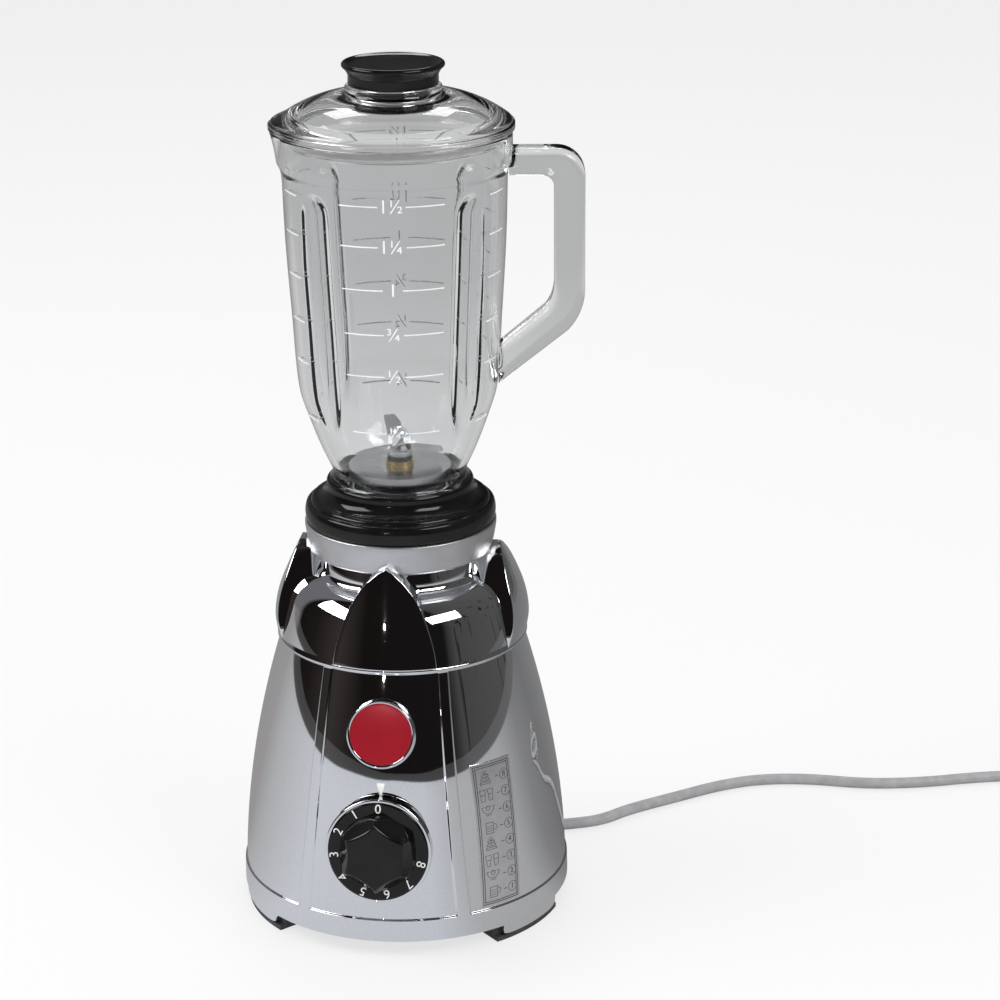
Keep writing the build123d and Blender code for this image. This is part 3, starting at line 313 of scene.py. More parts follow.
chromeLook = {"colour": rgb(0.90, 0.91, 0.93), "tone": rgb(0.86, 0.87, 0.89), "rough": (0.01, 0.035),
              "wave": 16.0, "waveStretch": (1.0, 1.0, 0.7), "waveHeight": 0.30, "polish": 900.0,
              "polishHeight": 0.0015, "dust": 1400.0, "dustRough": 0.05}
glassLook = {"colour": rgb(0.95, 0.955, 0.96), "tone": rgb(0.93, 0.94, 0.945), "rough": 0.02, "ior": 1.5,
             "wave": 28.0, "bump": 0.12, "smear": 160.0}
lidLook = {"colour": rgb(0.965, 0.965, 0.96), "tone": rgb(0.94, 0.945, 0.945), "rough": 0.03, "ior": 1.49,
           "wave": 35.0, "bump": 0.08, "smear": 160.0}
# plain finishes: colour, its second tone, roughness from and to, grain size, bump height in mm, then metal,
# specular level and coat where they aren't 0, 0.5 and 0
lookKeys = ("colour", "tone", "rough", "grain", "bump", "metal", "specular", "coat")
mouldedLooks = {
    "seat_aluminium": (rgb(0.74, 0.74, 0.75), rgb(0.68, 0.68, 0.7), (0.36, 0.46), 90.0, 0.03, 1.0),
    "plate_steel": (rgb(0.42, 0.42, 0.43), rgb(0.36, 0.36, 0.37), (0.35, 0.5), 60.0, 0.03, 1.0),
    "foot_rubber": (rgb(0.035, 0.035, 0.037), rgb(0.055, 0.055, 0.056), (0.55, 0.8), 120.0, 0.12),
    "white_paint": (rgb(0.86, 0.86, 0.84), rgb(0.78, 0.78, 0.76), (0.4, 0.55), 300.0, 0.02),
    "grey_rubber": (rgb(0.17, 0.17, 0.175), grey(0.21), (0.5, 0.7), 120.0, 0.08),
    "enamel_red": (rgb(0.3, 0.008, 0.018), rgb(0.27, 0.007, 0.016), (0.12, 0.2), 70.0, 0.03, 0.0, 0.5, 0.6),
    "guide_metal": (rgb(0.8, 0.8, 0.82), rgb(0.74, 0.74, 0.76), (0.22, 0.36), 140.0, 0.02, 1.0),
    "bakelite": (grey(0.004), rgb(0.008, 0.007, 0.007), (0.07, 0.15), 50.0, 0.03, 0.0, 0.35),
    "steel": (rgb(0.6, 0.6, 0.61), rgb(0.52, 0.52, 0.54), (0.14, 0.3), 110.0, 0.02, 1.0),
    "bearing_steel": (rgb(0.5, 0.5, 0.52), rgb(0.44, 0.44, 0.46), (0.15, 0.25), 150.0, 0.01, 1.0),
    "lamination": (rgb(0.2, 0.2, 0.22), rgb(0.26, 0.26, 0.27), (0.4, 0.6), 200.0, 0.05, 1.0),
    "copper": (rgb(0.48, 0.17, 0.07), rgb(0.58, 0.23, 0.1), (0.25, 0.4), 220.0, 0.12, 1.0),
    "brass": (rgb(0.6, 0.43, 0.16), rgb(0.52, 0.36, 0.13), (0.2, 0.35), 110.0, 0.02, 1.0),
    "carbon": (rgb(0.03, 0.03, 0.032), grey(0.05), (0.5, 0.7), 200.0, 0.06),
    "fan_plastic": (rgb(0.1, 0.1, 0.11), rgb(0.13, 0.13, 0.135), (0.35, 0.5), 90.0, 0.03),
    "coupling_plastic": (rgb(0.035, 0.035, 0.04), rgb(0.05, 0.05, 0.055), (0.3, 0.45), 90.0, 0.03),
    "control_plastic": (rgb(0.16, 0.1, 0.06), rgb(0.2, 0.13, 0.08), (0.35, 0.5), 90.0, 0.03),
    "bracket_metal": (rgb(0.46, 0.46, 0.47), rgb(0.4, 0.4, 0.41), (0.35, 0.55), 80.0, 0.06, 1.0),
    "seal_clear": (rgb(0.72, 0.72, 0.7), rgb(0.66, 0.66, 0.64), (0.25, 0.4), 100.0, 0.03),
    "cord_grey": (rgb(0.36, 0.36, 0.37), rgb(0.3, 0.3, 0.31), (0.35, 0.5), 160.0, 0.06),
    "plug_grey": (rgb(0.3, 0.3, 0.31), rgb(0.25, 0.25, 0.26), (0.4, 0.55), 120.0, 0.06),
    "glass_frost": (rgb(0.85, 0.86, 0.87), rgb(0.74, 0.75, 0.76), (0.25, 0.4), 120.0, 0.02),
    "dark_ink": (rgb(0.045, 0.045, 0.05), rgb(0.08, 0.08, 0.085), (0.4, 0.6), 300.0, 0.01),
}
finishes = {name: newFinish(name + "_finish", moulded, dict(zip(lookKeys, row)))
            for name, row in mouldedLooks.items()}
finishes["chrome"] = newFinish("chrome_finish", chromed, chromeLook)
finishes["jar_glass"] = newFinish("jar_glass_finish", cleared, glassLook)
finishes["lid_clear"] = newFinish("lid_clear_finish", cleared, lidLook)
for node in nodes.values():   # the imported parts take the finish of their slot
    for place in node.material_slots:
        place.material = finishes[place.material.name.split(".")[0]]
print("finishes made:", len(finishes))


# outlines and meshes, sizes in millimetres
def spread(start, end, count):   # evenly spaced values, both ends included
    return [start + (end - start) * i / count for i in range(count + 1)]


def polar(radius, turn, height):
    return radius * math.cos(turn), radius * math.sin(turn), height


def arc(start, middle, end, steps=8):   # points on the circle through three, without the first
    (ax, ay), (bx, by), (cx, cy) = start, middle, end
    twice = 2 * (ax * (by - cy) + bx * (cy - ay) + cx * (ay - by))
    a, b, c = ax * ax + ay * ay, bx * bx + by * by, cx * cx + cy * cy
    ox = (a * (by - cy) + b * (cy - ay) + c * (ay - by)) / twice
    oy = (a * (cx - bx) + b * (ax - cx) + c * (bx - ax)) / twice
    radius = math.hypot(ax - ox, ay - oy)
    first = math.atan2(ay - oy, ax - ox)
    sweep = math.remainder(math.atan2(cy - oy, cx - ox) - first, math.tau)
    through = math.remainder(math.atan2(by - oy, bx - ox) - first, math.tau)
    if sweep * through < 0:
        sweep -= math.copysign(math.tau, sweep)
    turns = [first + sweep * i / steps for i in range(1, steps + 1)]
    return [(ox + radius * math.cos(t), oy + radius * math.sin(t)) for t in turns]


def softened(corners, steps=5):   # a closed outline; a third number rounds that corner
    points = []
    for i, corner in enumerate(corners):
        here = Vector(corner[:2])
        if len(corner) < 3:
            points.append(tuple(here))
            continue
        before = Vector(corners[i - 1][:2]) - here
        after = Vector(corners[(i + 1) % len(corners)][:2]) - here
        half = before.angle(after) / 2
        reach = min(corner[2] / math.tan(half), 0.42 * before.length, 0.42 * after.length)
        before, after = before.normalized(), after.normalized()
        start, end, towards = here + before * reach, here + after * reach, (before + after).normalized()
        centre = here + towards * (reach / math.cos(half))
        middle = centre - towards * (reach * math.tan(half))
        points += [tuple(start + before * reach * 0.25), tuple(start)]
        points += arc(tuple(start), tuple(middle), tuple(end), steps) + [tuple(end + after * reach * 0.25)]
    return points


def addPiece(name, mesh, body, slot, replaced=(), finish=None):
    mesh.name = name
    mesh.materials.clear()
    mesh.materials.append(finishes[finish or slot])
    mesh.shade_smooth()
    piece = placed(name, mesh)
    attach(piece, body)
    if replaced:
        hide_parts(*replaced)


def meshOf(points, faces, place=None):
    mesh = bpy.data.meshes.new("mesh")
    mesh.from_pydata([tuple(c * mm for c in point) for point in points], [], faces)
    work = bmesh.new()
    work.from_mesh(mesh)
    bmesh.ops.remove_doubles(work, verts=work.verts, dist=1e-7)
    bmesh.ops.recalc_face_normals(work, faces=work.faces)
    work.to_mesh(mesh)
    work.free()
    if place:
        mesh.transform(place)
    mesh.update()
    return mesh


def joined(meshes):   # several meshes as one
    work = bmesh.new()
    for part in meshes:
        work.from_mesh(part)
    mesh = bpy.data.meshes.new("mesh")
    work.to_mesh(mesh)
    work.free()
    return mesh


def ringFaces(rings, closed):   # quads between rows of point numbers, triangles at a pole
    faces = []
    pairs = list(zip(rings, rings[1:])) + ([(rings[-1], rings[0])] if closed else [])
    for low, high in pairs:
        count = max(len(low), len(high))
        if count == 1:
            continue
        for i in range(count):
            j = (i + 1) % count
            face = [low[i % len(low)], low[j % len(low)], high[j % len(high)], high[i % len(high)]]
            faces.append(tuple(dict.fromkeys(face)))
    return faces


def loftMesh(loops, closed=False, place=None):   # a skin over loops of points, closed round or by ends
    points, rings = [], []
    for loop in loops:
        rings.append(list(range(len(points), len(points) + len(loop))))
        points += loop
    ends = [] if closed else [tuple(ring) for ring in (rings[0], rings[-1][::-1]) if len(ring) > 2]
    return meshOf(points, ringFaces(rings, closed) + ends, place)


# outline of radii and heights; reach turns a radius into the distance out at a height and turn
def turnedMesh(outline, place=None, turns=160, reach=None):
    loops = []
    for radius, height in outline:
        angles = spread(0, math.tau, turns)[:-1] if reach or radius > 1e-6 else [0.0]
        fars = [reach(radius, height, turn) if reach else radius for turn in angles]
        loops.append([polar(far, turn, height) for far, turn in zip(fars, angles)])
    return loftMesh(loops, len(loops[0]) > 1 or len(loops[-1]) > 1, place)


# housing: pressed skirt with recessed panels, shoulder, neck and deck
housingSet = {
    "rimRadius": 96.5, "rimZ": 10.0, "waistRadius": 72.0, "waistZ": 165.0, "power": 1.95,
    "recess": 1.0, "recessZ": 23.5, "edge": 0.9,
    "frontHalf": (43.0, 30.8), "sideHalf": (50.3, 35.8),   # at the recess's foot and at the waist
    "ledge": (72.9, 166.6), "shoulder": ((69.8, 178.0), (66.7, 188.0), (62.8, 195.8), (56.5, 201.6)),
    "crease": ((53.5, 203.0), (50.4, 204.0)), "cove": ((48.6, 205.2), (47.2, 209.0), (46.1, 213.0)),
    "inside": ((41.5, 202.0), (53.0, 199.0), (62.0, 190.0), (67.0, 176.0), (68.6, 167.0)),
    "wall": 2.5, "neck": 45.0, "deckZ": 217.0, "bore": 12.0,
    "tabs": (-30.0, 90.0, 210.0), "tabHalf": 15.0, "tabRise": 1.4,
    "tabOutline": ((91.6, 11.0, 0.3), (91.6, 3.2, 0.8), (95.5, 3.2, 0.8), (95.9, 11.0, 0.3)),
}


def skirtRadius(z):
    s = housingSet
    share = max(0.0, (z - s["rimZ"]) / (s["waistZ"] - s["rimZ"]))
    return s["rimRadius"] - (s["rimRadius"] - s["waistRadius"]) * share ** s["power"]


def skirtLean(z):
    return math.atan2(skirtRadius(z - 0.5) - skirtRadius(z + 0.5), 1.0)


def smooth(value):
    value = min(1.0, max(0.0, value))
    return value * value * (3 - 2 * value)


def panelHalf(key, z):
    s = housingSet
    low, high = s[key]
    share = (min(max(z, s["recessZ"]), s["waistZ"]) - s["recessZ"]) / (s["waistZ"] - s["recessZ"])
    return low + (high - low) * share


def quarterTurns(z):   # the columns of one quarter, crowded at the panels' edges
    radius = skirtRadius(min(z, housingSet["waistZ"]))
    front = math.asin(panelHalf("frontHalf", z) / radius)
    side = math.asin(panelHalf("sideHalf", z) / radius)
    close = [k * 0.25 / radius for k in range(-4, 5)]
    turns = spread(0, front + close[0], 12)[:-1] + [front + c for c in close]
    turns += spread(front + close[-1], side + close[0], 3)[1:-1] + [side + c for c in close]
    return turns + spread(side + close[-1], math.pi / 2, 30)[1:]


def columnTurns(z):   # angles from the front, all round
    quarter = quarterTurns(z)
    half = quarter + [math.pi - t for t in reversed(quarter[:-1])]
    return half + [math.tau - t for t in reversed(half[1:-1])]


def recessAt(turn, z, radius):
    s = housingSet
    if z > s["waistZ"] + 0.01:
        return 0.0
    across = abs(radius * math.sin(turn))
    inside = max(panelHalf("frontHalf", z) - across, across - panelHalf("sideHalf", z))
    return s["recess"] * smooth(inside / s["edge"] + 0.5) * smooth((z - s["recessZ"]) / s["edge"] + 0.5)


def housingRows():
    s = housingSet
    rim, wall, neck, deck = s["rimZ"], s["wall"] + s["recess"], s["neck"], s["deckZ"]
    foot = s["rimRadius"]
    rows = [(foot - wall, rim + 0.4), (foot - wall + 0.5, rim), (foot - 0.6, rim)]
    rows += arc(rows[-1], (foot - 0.15, rim + 0.2), (foot, rim + 0.7), 4)
    heights = [12, 15, 18, 20.5, 22] + [s["recessZ"] + 0.15 * k for k in range(-5, 6)] + [25.2, 26.5]
    rows += [(skirtRadius(z), z) for z in heights + spread(26.5, 163.5, 44)[1:] + [164.4, 165.0]]
    ledge = s["ledge"]
    rows += [(ledge[0] - 0.4, ledge[1] - 1.2)]
    rows += arc(rows[-1], ledge, (ledge[0] - 0.5, ledge[1] + 1.1), 6)
    shoulder, crease, cove = s["shoulder"], s["crease"], s["cove"]
    rows += arc(rows[-1], *shoulder[:2], 10) + arc(*shoulder[1:], 12)
    rows += [*crease] + arc(crease[-1], *cove[:2], 10)
    rows += [cove[-1], (neck, deck - 0.9)]
    rows += arc(rows[-1], (neck - 0.25, deck - 0.25), (neck - 0.9, deck), 4)
    rows += [(neck - 3, deck), (s["bore"] + 1, deck), (s["bore"], deck - 0.4), (s["bore"], deck - 3)]
    rows += [(neck - wall, deck - 3), *s["inside"]]
    rows += [(skirtRadius(z) - wall, z) for z in (160, 130, 100, 70, 40, 20)]
    return rows


def makeHousing():
    loops = []
    for radius, z in housingRows():
        outer = radius >= skirtRadius(min(z, housingSet["waistZ"])) - 0.01
        turns = columnTurns(z)
        fars = [radius - (recessAt(turn, z, radius) if outer else 0) for turn in turns]
        loops.append([(far * math.sin(turn), -far * math.cos(turn), z) for far, turn in zip(fars, turns)])
    return loftMesh(loops, True)


def makeTab(middle):   # the skirt's lug over a foot, a bent strip with soft ends
    s = housingSet
    outline, loops = softened(s["tabOutline"]), []
    for share in spread(-1, 1, 28):
        turn = math.radians(middle + s["tabHalf"] * share)
        rise = s["tabRise"] * abs(share) ** 12
        loops.append([polar(radius, turn, z + (rise if z < s["rimZ"] - 2 else 0)) for radius, z in outline])
    return loftMesh(loops)


addPiece("housing_shell", makeHousing(), "base", "chrome", ["housing"])
addPiece("housing_tabs", joined([makeTab(a) for a in housingSet["tabs"]]), "base", "chrome", ["housing"])
print("housing made")

# arches: gothic lobes on the shoulder; their spines are radius and height, front and back, then the sides
archSet = {"halfWidth": 30.0, "baseZ": 165.4, "peakZ": 222.6, "bulge": (21.0, 197.0), "edge": 0.8,
           "back": 43.0, "tipBack": (50.0, 54.0), "ringZ": 216.6, "rows": 64, "round": 2.2,
           "widenZ": (185.0, 215.0),
           "fronts": ((72.5, 165.4), (72.8, 166.6), (70.7, 176.0), (67.0, 190.0), (62.1, 206.5),
                      (57.2, 222.6)),
           "sides": ((72.0, 165.4), (72.9, 169.5), (73.9, 178.5), (71.6, 191.5), (65.6, 206.5),
                     (57.9, 222.6))}


def throughPoints(points, z):   # a smooth curve through (value, height) points, read at a height
    count = len(points)
    slopes = []
    for i in range(count):
        a, b = points[max(i - 1, 0)], points[min(i + 1, count - 1)]
        slopes.append((b[0] - a[0]) / (b[1] - a[1]))
    for i in range(count - 1):
        (low, lowZ), (high, highZ) = points[i], points[i + 1]
        if z <= highZ or i == count - 2:
            t, run = (z - lowZ) / (highZ - lowZ), highZ - lowZ
            return ((2 * t ** 3 - 3 * t ** 2 + 1) * low + (t ** 3 - 2 * t ** 2 + t) * run * slopes[i]
                    + (3 * t ** 2 - 2 * t ** 3) * high + (t ** 3 - t ** 2) * run * slopes[i + 1])


def archHalf(z):   # half-width of the gothic outline at a height
    s = archSet
    foot = (s["halfWidth"], s["baseZ"])
    path = [foot] + arc(foot, s["bulge"], (0.0, s["peakZ"]), 60)
    for (ax, az), (bx, bz) in zip(path, path[1:]):
        if az <= z <= bz:
            return ax + (bx - ax) * (z - az) / (bz - az)
    return 0.0


def makeArch(spinePoints):
    s, loops = archSet, []
    base, peak, ringZ, soft = (s[key] for key in ("baseZ", "peakZ", "ringZ", "round"))
    (low, high), (tipLow, tipHigh) = s["widenZ"], s["tipBack"]
    for i in range(s["rows"] + 1):
        z = base + (peak - base) * (1 - (1 - i / s["rows"]) ** 1.5)
        half = max(archHalf(z), 0.02)
        if z > ringZ:
            half = math.sqrt(half * half + 2 * soft * half)
        else:
            half += soft * smooth((z - low) / (high - low))
        half *= math.sqrt(max(0.0004, min(1.0, (peak - z) / soft)))
        edge = min(s["edge"], half * 0.6)
        flat = half - edge
        spine = throughPoints(spinePoints, z)
        side = math.sqrt(spine * spine - flat * flat)
        front = [(x, -math.sqrt(spine * spine - x * x)) for x in spread(-flat, flat, 28)]
        corner = [(flat + edge * math.sin(a), -(side - edge + edge * math.cos(a)))
                  for a in spread(0, math.pi / 2, 6)[1:]]
        reach = tipLow + (tipHigh - tipLow) * (z - ringZ) / (peak - ringZ)
        back = s["back"] if z < ringZ else reach
        back = min(back, side - edge - 0.3)
        flank = corner + [(half, -(side + back) / 2), (half, -back)]
        loops.append([(x, y, z) for x, y in [(-x, y) for x, y in reversed(flank)] + front + flank])
    return loftMesh(loops)


# geometry nodes: copies of a mesh around the axis, lines along its edges
def keptMesh(holder):   # the holder's finished mesh; the holder goes
    bpy.context.view_layer.update()
    mesh = bpy.data.meshes.new_from_object(holder.evaluated_get(bpy.context.evaluated_depsgraph_get()))
    bpy.data.objects.remove(holder)
    return mesh


# a tree that takes a mesh, a material and the inputs given by kind; build wires what grows from them
def growing(name, build, **inputs):
    inputs = {"Geometry": "Geometry", "Material": "Material", **inputs}
    tree = bpy.data.node_groups.new(name, "GeometryNodeTree")
    tree.interface.new_socket("Geometry", in_out="OUTPUT", socket_type="NodeSocketGeometry")
    keys = {}
    for label, kind in inputs.items():
        made = tree.interface.new_socket(label, in_out="INPUT", socket_type="NodeSocket" + kind)
        keys[label] = made.identifier
    bench = Wire(tree)
    start = tree.nodes.new("NodeGroupInput")
    wires = {label: Wire(tree, start.outputs[label]) for label in inputs}
    whole = bench.node("GeometryNodeRealizeInstances", {}, {"Geometry": build(bench, wires)})
    painted = bench.node("GeometryNodeSetMaterial", {}, {"Geometry": whole, "Material": wires["Material"]})
    bench.node("NodeGroupOutput", {}, {"Geometry": painted})

    def grow(seed, finish, **values):   # runs the tree on a mesh and keeps the result
        carrier = placed("seed", seed)
        work = carrier.modifiers.new("grow", "NODES")
        work.node_group = tree
        for label, value in {**values, "Material": finishes[finish]}.items():
            work[keys[label]] = value
        return keptMesh(carrier)
    return grow


def roundAxis(bench, wires):
    dots = bench.node("GeometryNodePoints", {}, {"Count": wires["Count"]})
    number = bench.node("GeometryNodeInputIndex")
    turn = wires["Start"] + number / wires["Count"] * math.tau
    facing = bench.node("ShaderNodeCombineXYZ", {}, {"Z": turn})
    return bench.node("GeometryNodeInstanceOnPoints", {}, {"Points": dots, "Instance": wires["Geometry"],
                                                           "Rotation": facing})


def alongEdges(bench, wires):   # round lines along the edges of a mesh
    path = bench.node("GeometryNodeMeshToCurve", {}, {"Mesh": wires["Geometry"]})
    section = bench.node("GeometryNodeCurvePrimitiveCircle", {}, {"Resolution": wires["Sides"],
                                                                  "Radius": wires["Radius"]})
    return bench.node("GeometryNodeCurveToMesh", {}, {"Curve": path, "Profile Curve": section,
                                                      "Fill Caps": True})


copiesRound = growing("copies_round_axis", roundAxis, Count="Int", Start="Float")
linesOn = growing("lines_along_edges", alongEdges, Radius="Float", Sides="Int")


def linesAlong(paths, radius, finish, sides=6):   # paths are lists of points in millimetres
    points, edges = [], []
    for path in paths:
        edges += [(len(points) + i, len(points) + i + 1) for i in range(len(path) - 1)]
        points += [tuple(c * mm for c in point) for point in path]
    mesh = bpy.data.meshes.new("paths")
    mesh.from_pydata(points, edges, [])
    return linesOn(mesh, finish, Radius=radius * mm, Sides=sides)


def wrapped(mesh, place):   # lays a flat mesh on a surface: place gives the point for across, up and out
    for vertex in mesh.vertices:
        vertex.co = Vector(place(*(c / mm for c in vertex.co))) * mm
    mesh.update()
    return mesh


archPairs = [copiesRound(makeArch(archSet[key]), "chrome", Count=2, Start=start)
             for key, start in (("fronts", 0.0), ("sides", math.pi / 2))]
addPiece("housing_arches", joined(archPairs), "base", "chrome", ["housing"])
print("arches made")

# seat ring: satin aluminium dish on the neck
seatSet = {"foot": 51.0, "brim": 55.3, "baseZ": 217.0, "topZ": 235.0, "bore": 51.5, "stepZ": 226.0,
           "well": 28.5, "floorZ": 221.0, "inner": 45.5}


def makeSeatRing():
    foot, brim, base, top, bore, step, well, floor, inner = seatSet.values()
    outline = [(foot - 0.3, base)]
    outline += arc(outline[0], (foot + 1.2, base + 0.8), (foot + 1.95, base + 2.4), 8)
    outline += arc(outline[-1], (brim - 1.0, step), (brim, top - 3), 14)
    outline += softened([(brim, top - 2.5), (brim, top, 0.9), (bore, top, 0.7), (bore, step, 0.4),
                         (inner, step, 0.5), (inner, floor, 0.4), (well, floor, 0.4), (well, base, 0.3)])
    return turnedMesh(outline)


addPiece("seat_ring_turned", makeSeatRing(), "base", "seat_aluminium", ["seat_ring"])

# collar: glossy black moulding that carries the jar; its curves are in from the roll and up from the seat
collarSet = {"seatZ": 235.3, "radius": 55.0, "topZ": 259.6, "bore": 38.7, "mouth": 40.9, "mouthZ": 251.9,
             "shelfZ": 247.8, "shelfLow": 241.8, "hole": 32.0, "sleeve": (47.2, 51.2), "sleeveZ": 226.3,
             "curves": (((0.8, 0.4), (0.0, 5.0), (0.8, 9.5)), ((0.8, 9.5), (1.8, 10.6), (3.4, 11.0)),
                        ((3.4, 11.0), (4.4, 13.0), (6.2, 13.6)), ((6.2, 13.6), (10.9, 16.2), (12.8, 21.2)),
                        ((12.8, 21.2), (13.0, 23.5), (13.6, 24.3)))}


def makeCollar():
    (seat, radius, top, bore, mouth, mouthZ, shelf, shelfLow, hole, sleeve, sleeveZ,
     curves) = collarSet.values()
    outline = [(sleeve[1], seat), (radius - 1.3, seat), (radius - 0.8, seat + 0.4)]
    for curve in curves:
        outline += arc(*[(radius - inward, seat + up) for inward, up in curve], 10)
    outline += [(mouth + 0.15, top - 0.05)] + softened([
        (mouth, mouthZ, 0.2), (bore, mouthZ, 0.4), (bore, shelf, 0.3), (hole, shelf, 0.4),
        (hole, shelfLow, 0.4), (sleeve[0], shelfLow, 0.4), (sleeve[0], sleeveZ, 0.4),
        (sleeve[1], sleeveZ, 0.5), (sleeve[1], seat - 0.3)])
    return turnedMesh(outline)


addPiece("collar_turned", makeCollar(), "blade_base", "bakelite", ["jar_collar"])
print("ring and collar made")

# glass jar: turned form with four flutes, rim band, pouring lip and handle
jarSet = {
    "turn": 7.3, "wall": 4.2, "topZ": 462.0, "rim": 65.8, "rimZ": 446.0, "neck": 38.4, "neckZ": 266.0,
    "bottomZ": 252.2, "foot": 40.6, "footZ": 260.2, "flute": 10.757, "fluteAxis": 69.26,
    "fluteTopZ": 424.0, "fluteLowZ": 285.0, "fluteLean": 3.3, "soft": 1.1,
    "spout": 42.0, "spoutRadii": (20.0, 27.5), "spoutLow": 437.0, "columns": 320, "rows": 84,
}
jarOutline = ((38.4, 266.0), (44.6, 279.5), (51.4, 298.0), (56.4, 315.0), (59.4, 358.0), (61.9, 400.0),
              (63.0, 439.0))


def softMin(a, b, soft):
    gap = max(soft - abs(a - b), 0.0) / soft
    return min(a, b) - gap * gap * soft / 4


def jarRadius(turn, z, inset=0.0):   # the glass's surface, drawn in by inset
    s = jarSet
    if z <= s["neckZ"]:
        base = s["neck"]
    elif z <= jarOutline[-1][1]:
        base = throughPoints(jarOutline, z)
    else:
        base = jarOutline[-1][0] + (s["rim"] - jarOutline[-1][0]) * smooth((z - jarOutline[-1][1]) / 7.0)
    base -= inset
    away = math.remainder(turn - math.pi / 4, math.pi / 2)   # from the nearest flute
    axis = s["fluteAxis"] - (s["fluteTopZ"] - z) * math.tan(math.radians(s["fluteLean"]))
    round2 = (s["flute"] + inset) ** 2 - max(0.0, z - s["fluteTopZ"]) ** 2
    inside = round2 - (axis * math.sin(away)) ** 2
    if inside > 0 and z > s["fluteLowZ"]:
        base = softMin(base, axis * math.cos(away) - math.sqrt(inside), s["soft"])
    away = math.remainder(turn - math.pi, math.tau)          # from the pouring lip
    low, high = s["spoutRadii"]
    cone = low + (high - low) * (z - s["spoutLow"]) / (s["topZ"] - s["spoutLow"]) - inset
    inside = cone * cone - (s["spout"] * math.sin(away)) ** 2 if cone > 0 and abs(away) < 1 else -1
    if inside > 0:
        lip = s["spout"] * math.cos(away) + math.sqrt(inside)
        base = -softMin(-base, -lip, 3.0) if z > s["spoutLow"] - 12 else base
    return base


def glassReach(inset, z, turn):   # inset runs from 0 on the outer face to the wall's thickness inside
    wall = jarSet["wall"]
    outer, inner = jarRadius(turn, z), jarRadius(turn, z, wall)
    return outer + (inner - outer) * (inset / wall)


def makeJarBody():   # rows of insets and heights
    s = jarSet
    top, low, wall, neck = (s[key] for key in ("topZ", "bottomZ", "wall", "neck"))
    foot, step = s["foot"], s["footZ"]
    rise = spread(s["neckZ"], top - 1.2, s["rows"])
    out = neck - foot       # the foot stands out past the neck
    rows = [(out + 0.9, low), (out + 0.25, low + 0.25), (out, low + 0.9), (out, low + 4), (out, step - 0.6)]
    curl = arc((foot, step - 0.6), (foot - 0.4, step + 0.5), (foot - 1.0, step + 1.2), 4)
    curl += arc((foot - 1.0, step + 1.2), (39.0, 263.0), (neck, s["neckZ"] - 0.5), 5)
    rows += [(neck - r, z) for r, z in curl] + [(0.0, z) for z in rise]
    brim = ((0.12, 0.55), (0.45, 0.14), (0.95, 0.0))
    rows += [(a, top - b) for a, b in brim] + [(wall - a, top - b) for a, b in reversed(brim)]
    rows += [(wall, z) for z in reversed(rise)] + [(wall, low + 8), (wall, low + 4), (wall, low + 0.9)]
    rows += [(wall - 0.25, low + 0.25), (wall - 0.9, low)]
    return turnedMesh(rows, None, s["columns"], glassReach)


handleSet = {"width": 17.6, "reach": 106.0, "inner": 88.6, "root": 63.5, "topZ": 452.0, "arm": 15.5,
             "bendZ": 369.0, "bend": (102.9, 356.5), "knee": (96.4, 347.0), "foot": (57.0, 316.0),
             "innerBend": (87.6, 368.5), "innerKnee": (83.5, 360.7), "footInner": (57.0, 338.5),
             "corner": 16.0, "innerCorner": 7.0, "round": 4.6}


def handleEdge(reach, corner, top, low, bend, knee, foot):   # one edge, from the rim to the foot
    cut = corner * (1 - math.sqrt(0.5))
    root = handleSet["root"]
    points = [(x, top) for x in spread(root, reach - corner, 4)]      # the arm out of the rim
    points += arc(points[-1], (reach - cut, top - cut), (reach, top - corner), 10)
    high = points[-1][1]
    points += [(reach, z) for z in spread(high, low, 12)[1:]]         # the upright bar
    points += arc(points[-1], bend, knee, 10)
    arm = zip(*(spread(a, b, 8)[1:] for a, b in zip(points[-1], foot)))
    return points + list(arm)


def makeHandle():
    s = handleSet
    outside = handleEdge(s["reach"], s["corner"], s["topZ"], s["bendZ"], s["bend"], s["knee"], s["foot"])
    inside = handleEdge(s["inner"], s["innerCorner"], s["topZ"] - s["arm"], s["bendZ"] + 6, s["innerBend"],
                        s["innerKnee"], s["footInner"])
    loops, half = [], s["width"] / 2
    for far, near in zip(outside, inside):
        middle = Vector(((far[0] + near[0]) / 2, (far[1] + near[1]) / 2))
        out = Vector(far) - middle
        deep = out.length
        section = softened([(a, b, s["round"]) for a, b in ((-deep, -half), (deep, -half), (deep, half),
                                                            (-deep, half))], 6)
        out.normalize()
        loops.append([(middle.x + out.x * a, b, middle.y + out.y * a) for a, b in section])
    return loftMesh(loops)


def united(first, second):   # one closed mesh of two that cross
    whole, other = placed("whole", first), placed("other", second)
    cut = whole.modifiers.new("unite", "BOOLEAN")
    cut.operation, cut.solver, cut.object = "UNION", "EXACT", other
    mesh = keptMesh(whole)
    bpy.data.objects.remove(other)
    return mesh


jarPlace = Matrix.Rotation(math.radians(jarSet["turn"]), 4, "Z")
jarMesh = united(makeJarBody(), makeHandle())
jarMesh.transform(jarPlace)
addPiece("jar_glass", jarMesh, "jar", "jar_glass", ["glass_jar"])
print("jar made:", len(jarMesh.polygons), "faces")


def textMesh(body, size, thick):
    curve = bpy.data.curves.new("numeral", "FONT")
    curve.body, curve.size, curve.extrude = body, size * mm, thick * mm
    curve.align_x, curve.align_y = "CENTER", "CENTER"
    curve.resolution_u = 6
    return keptMesh(placed("numeral", curve))


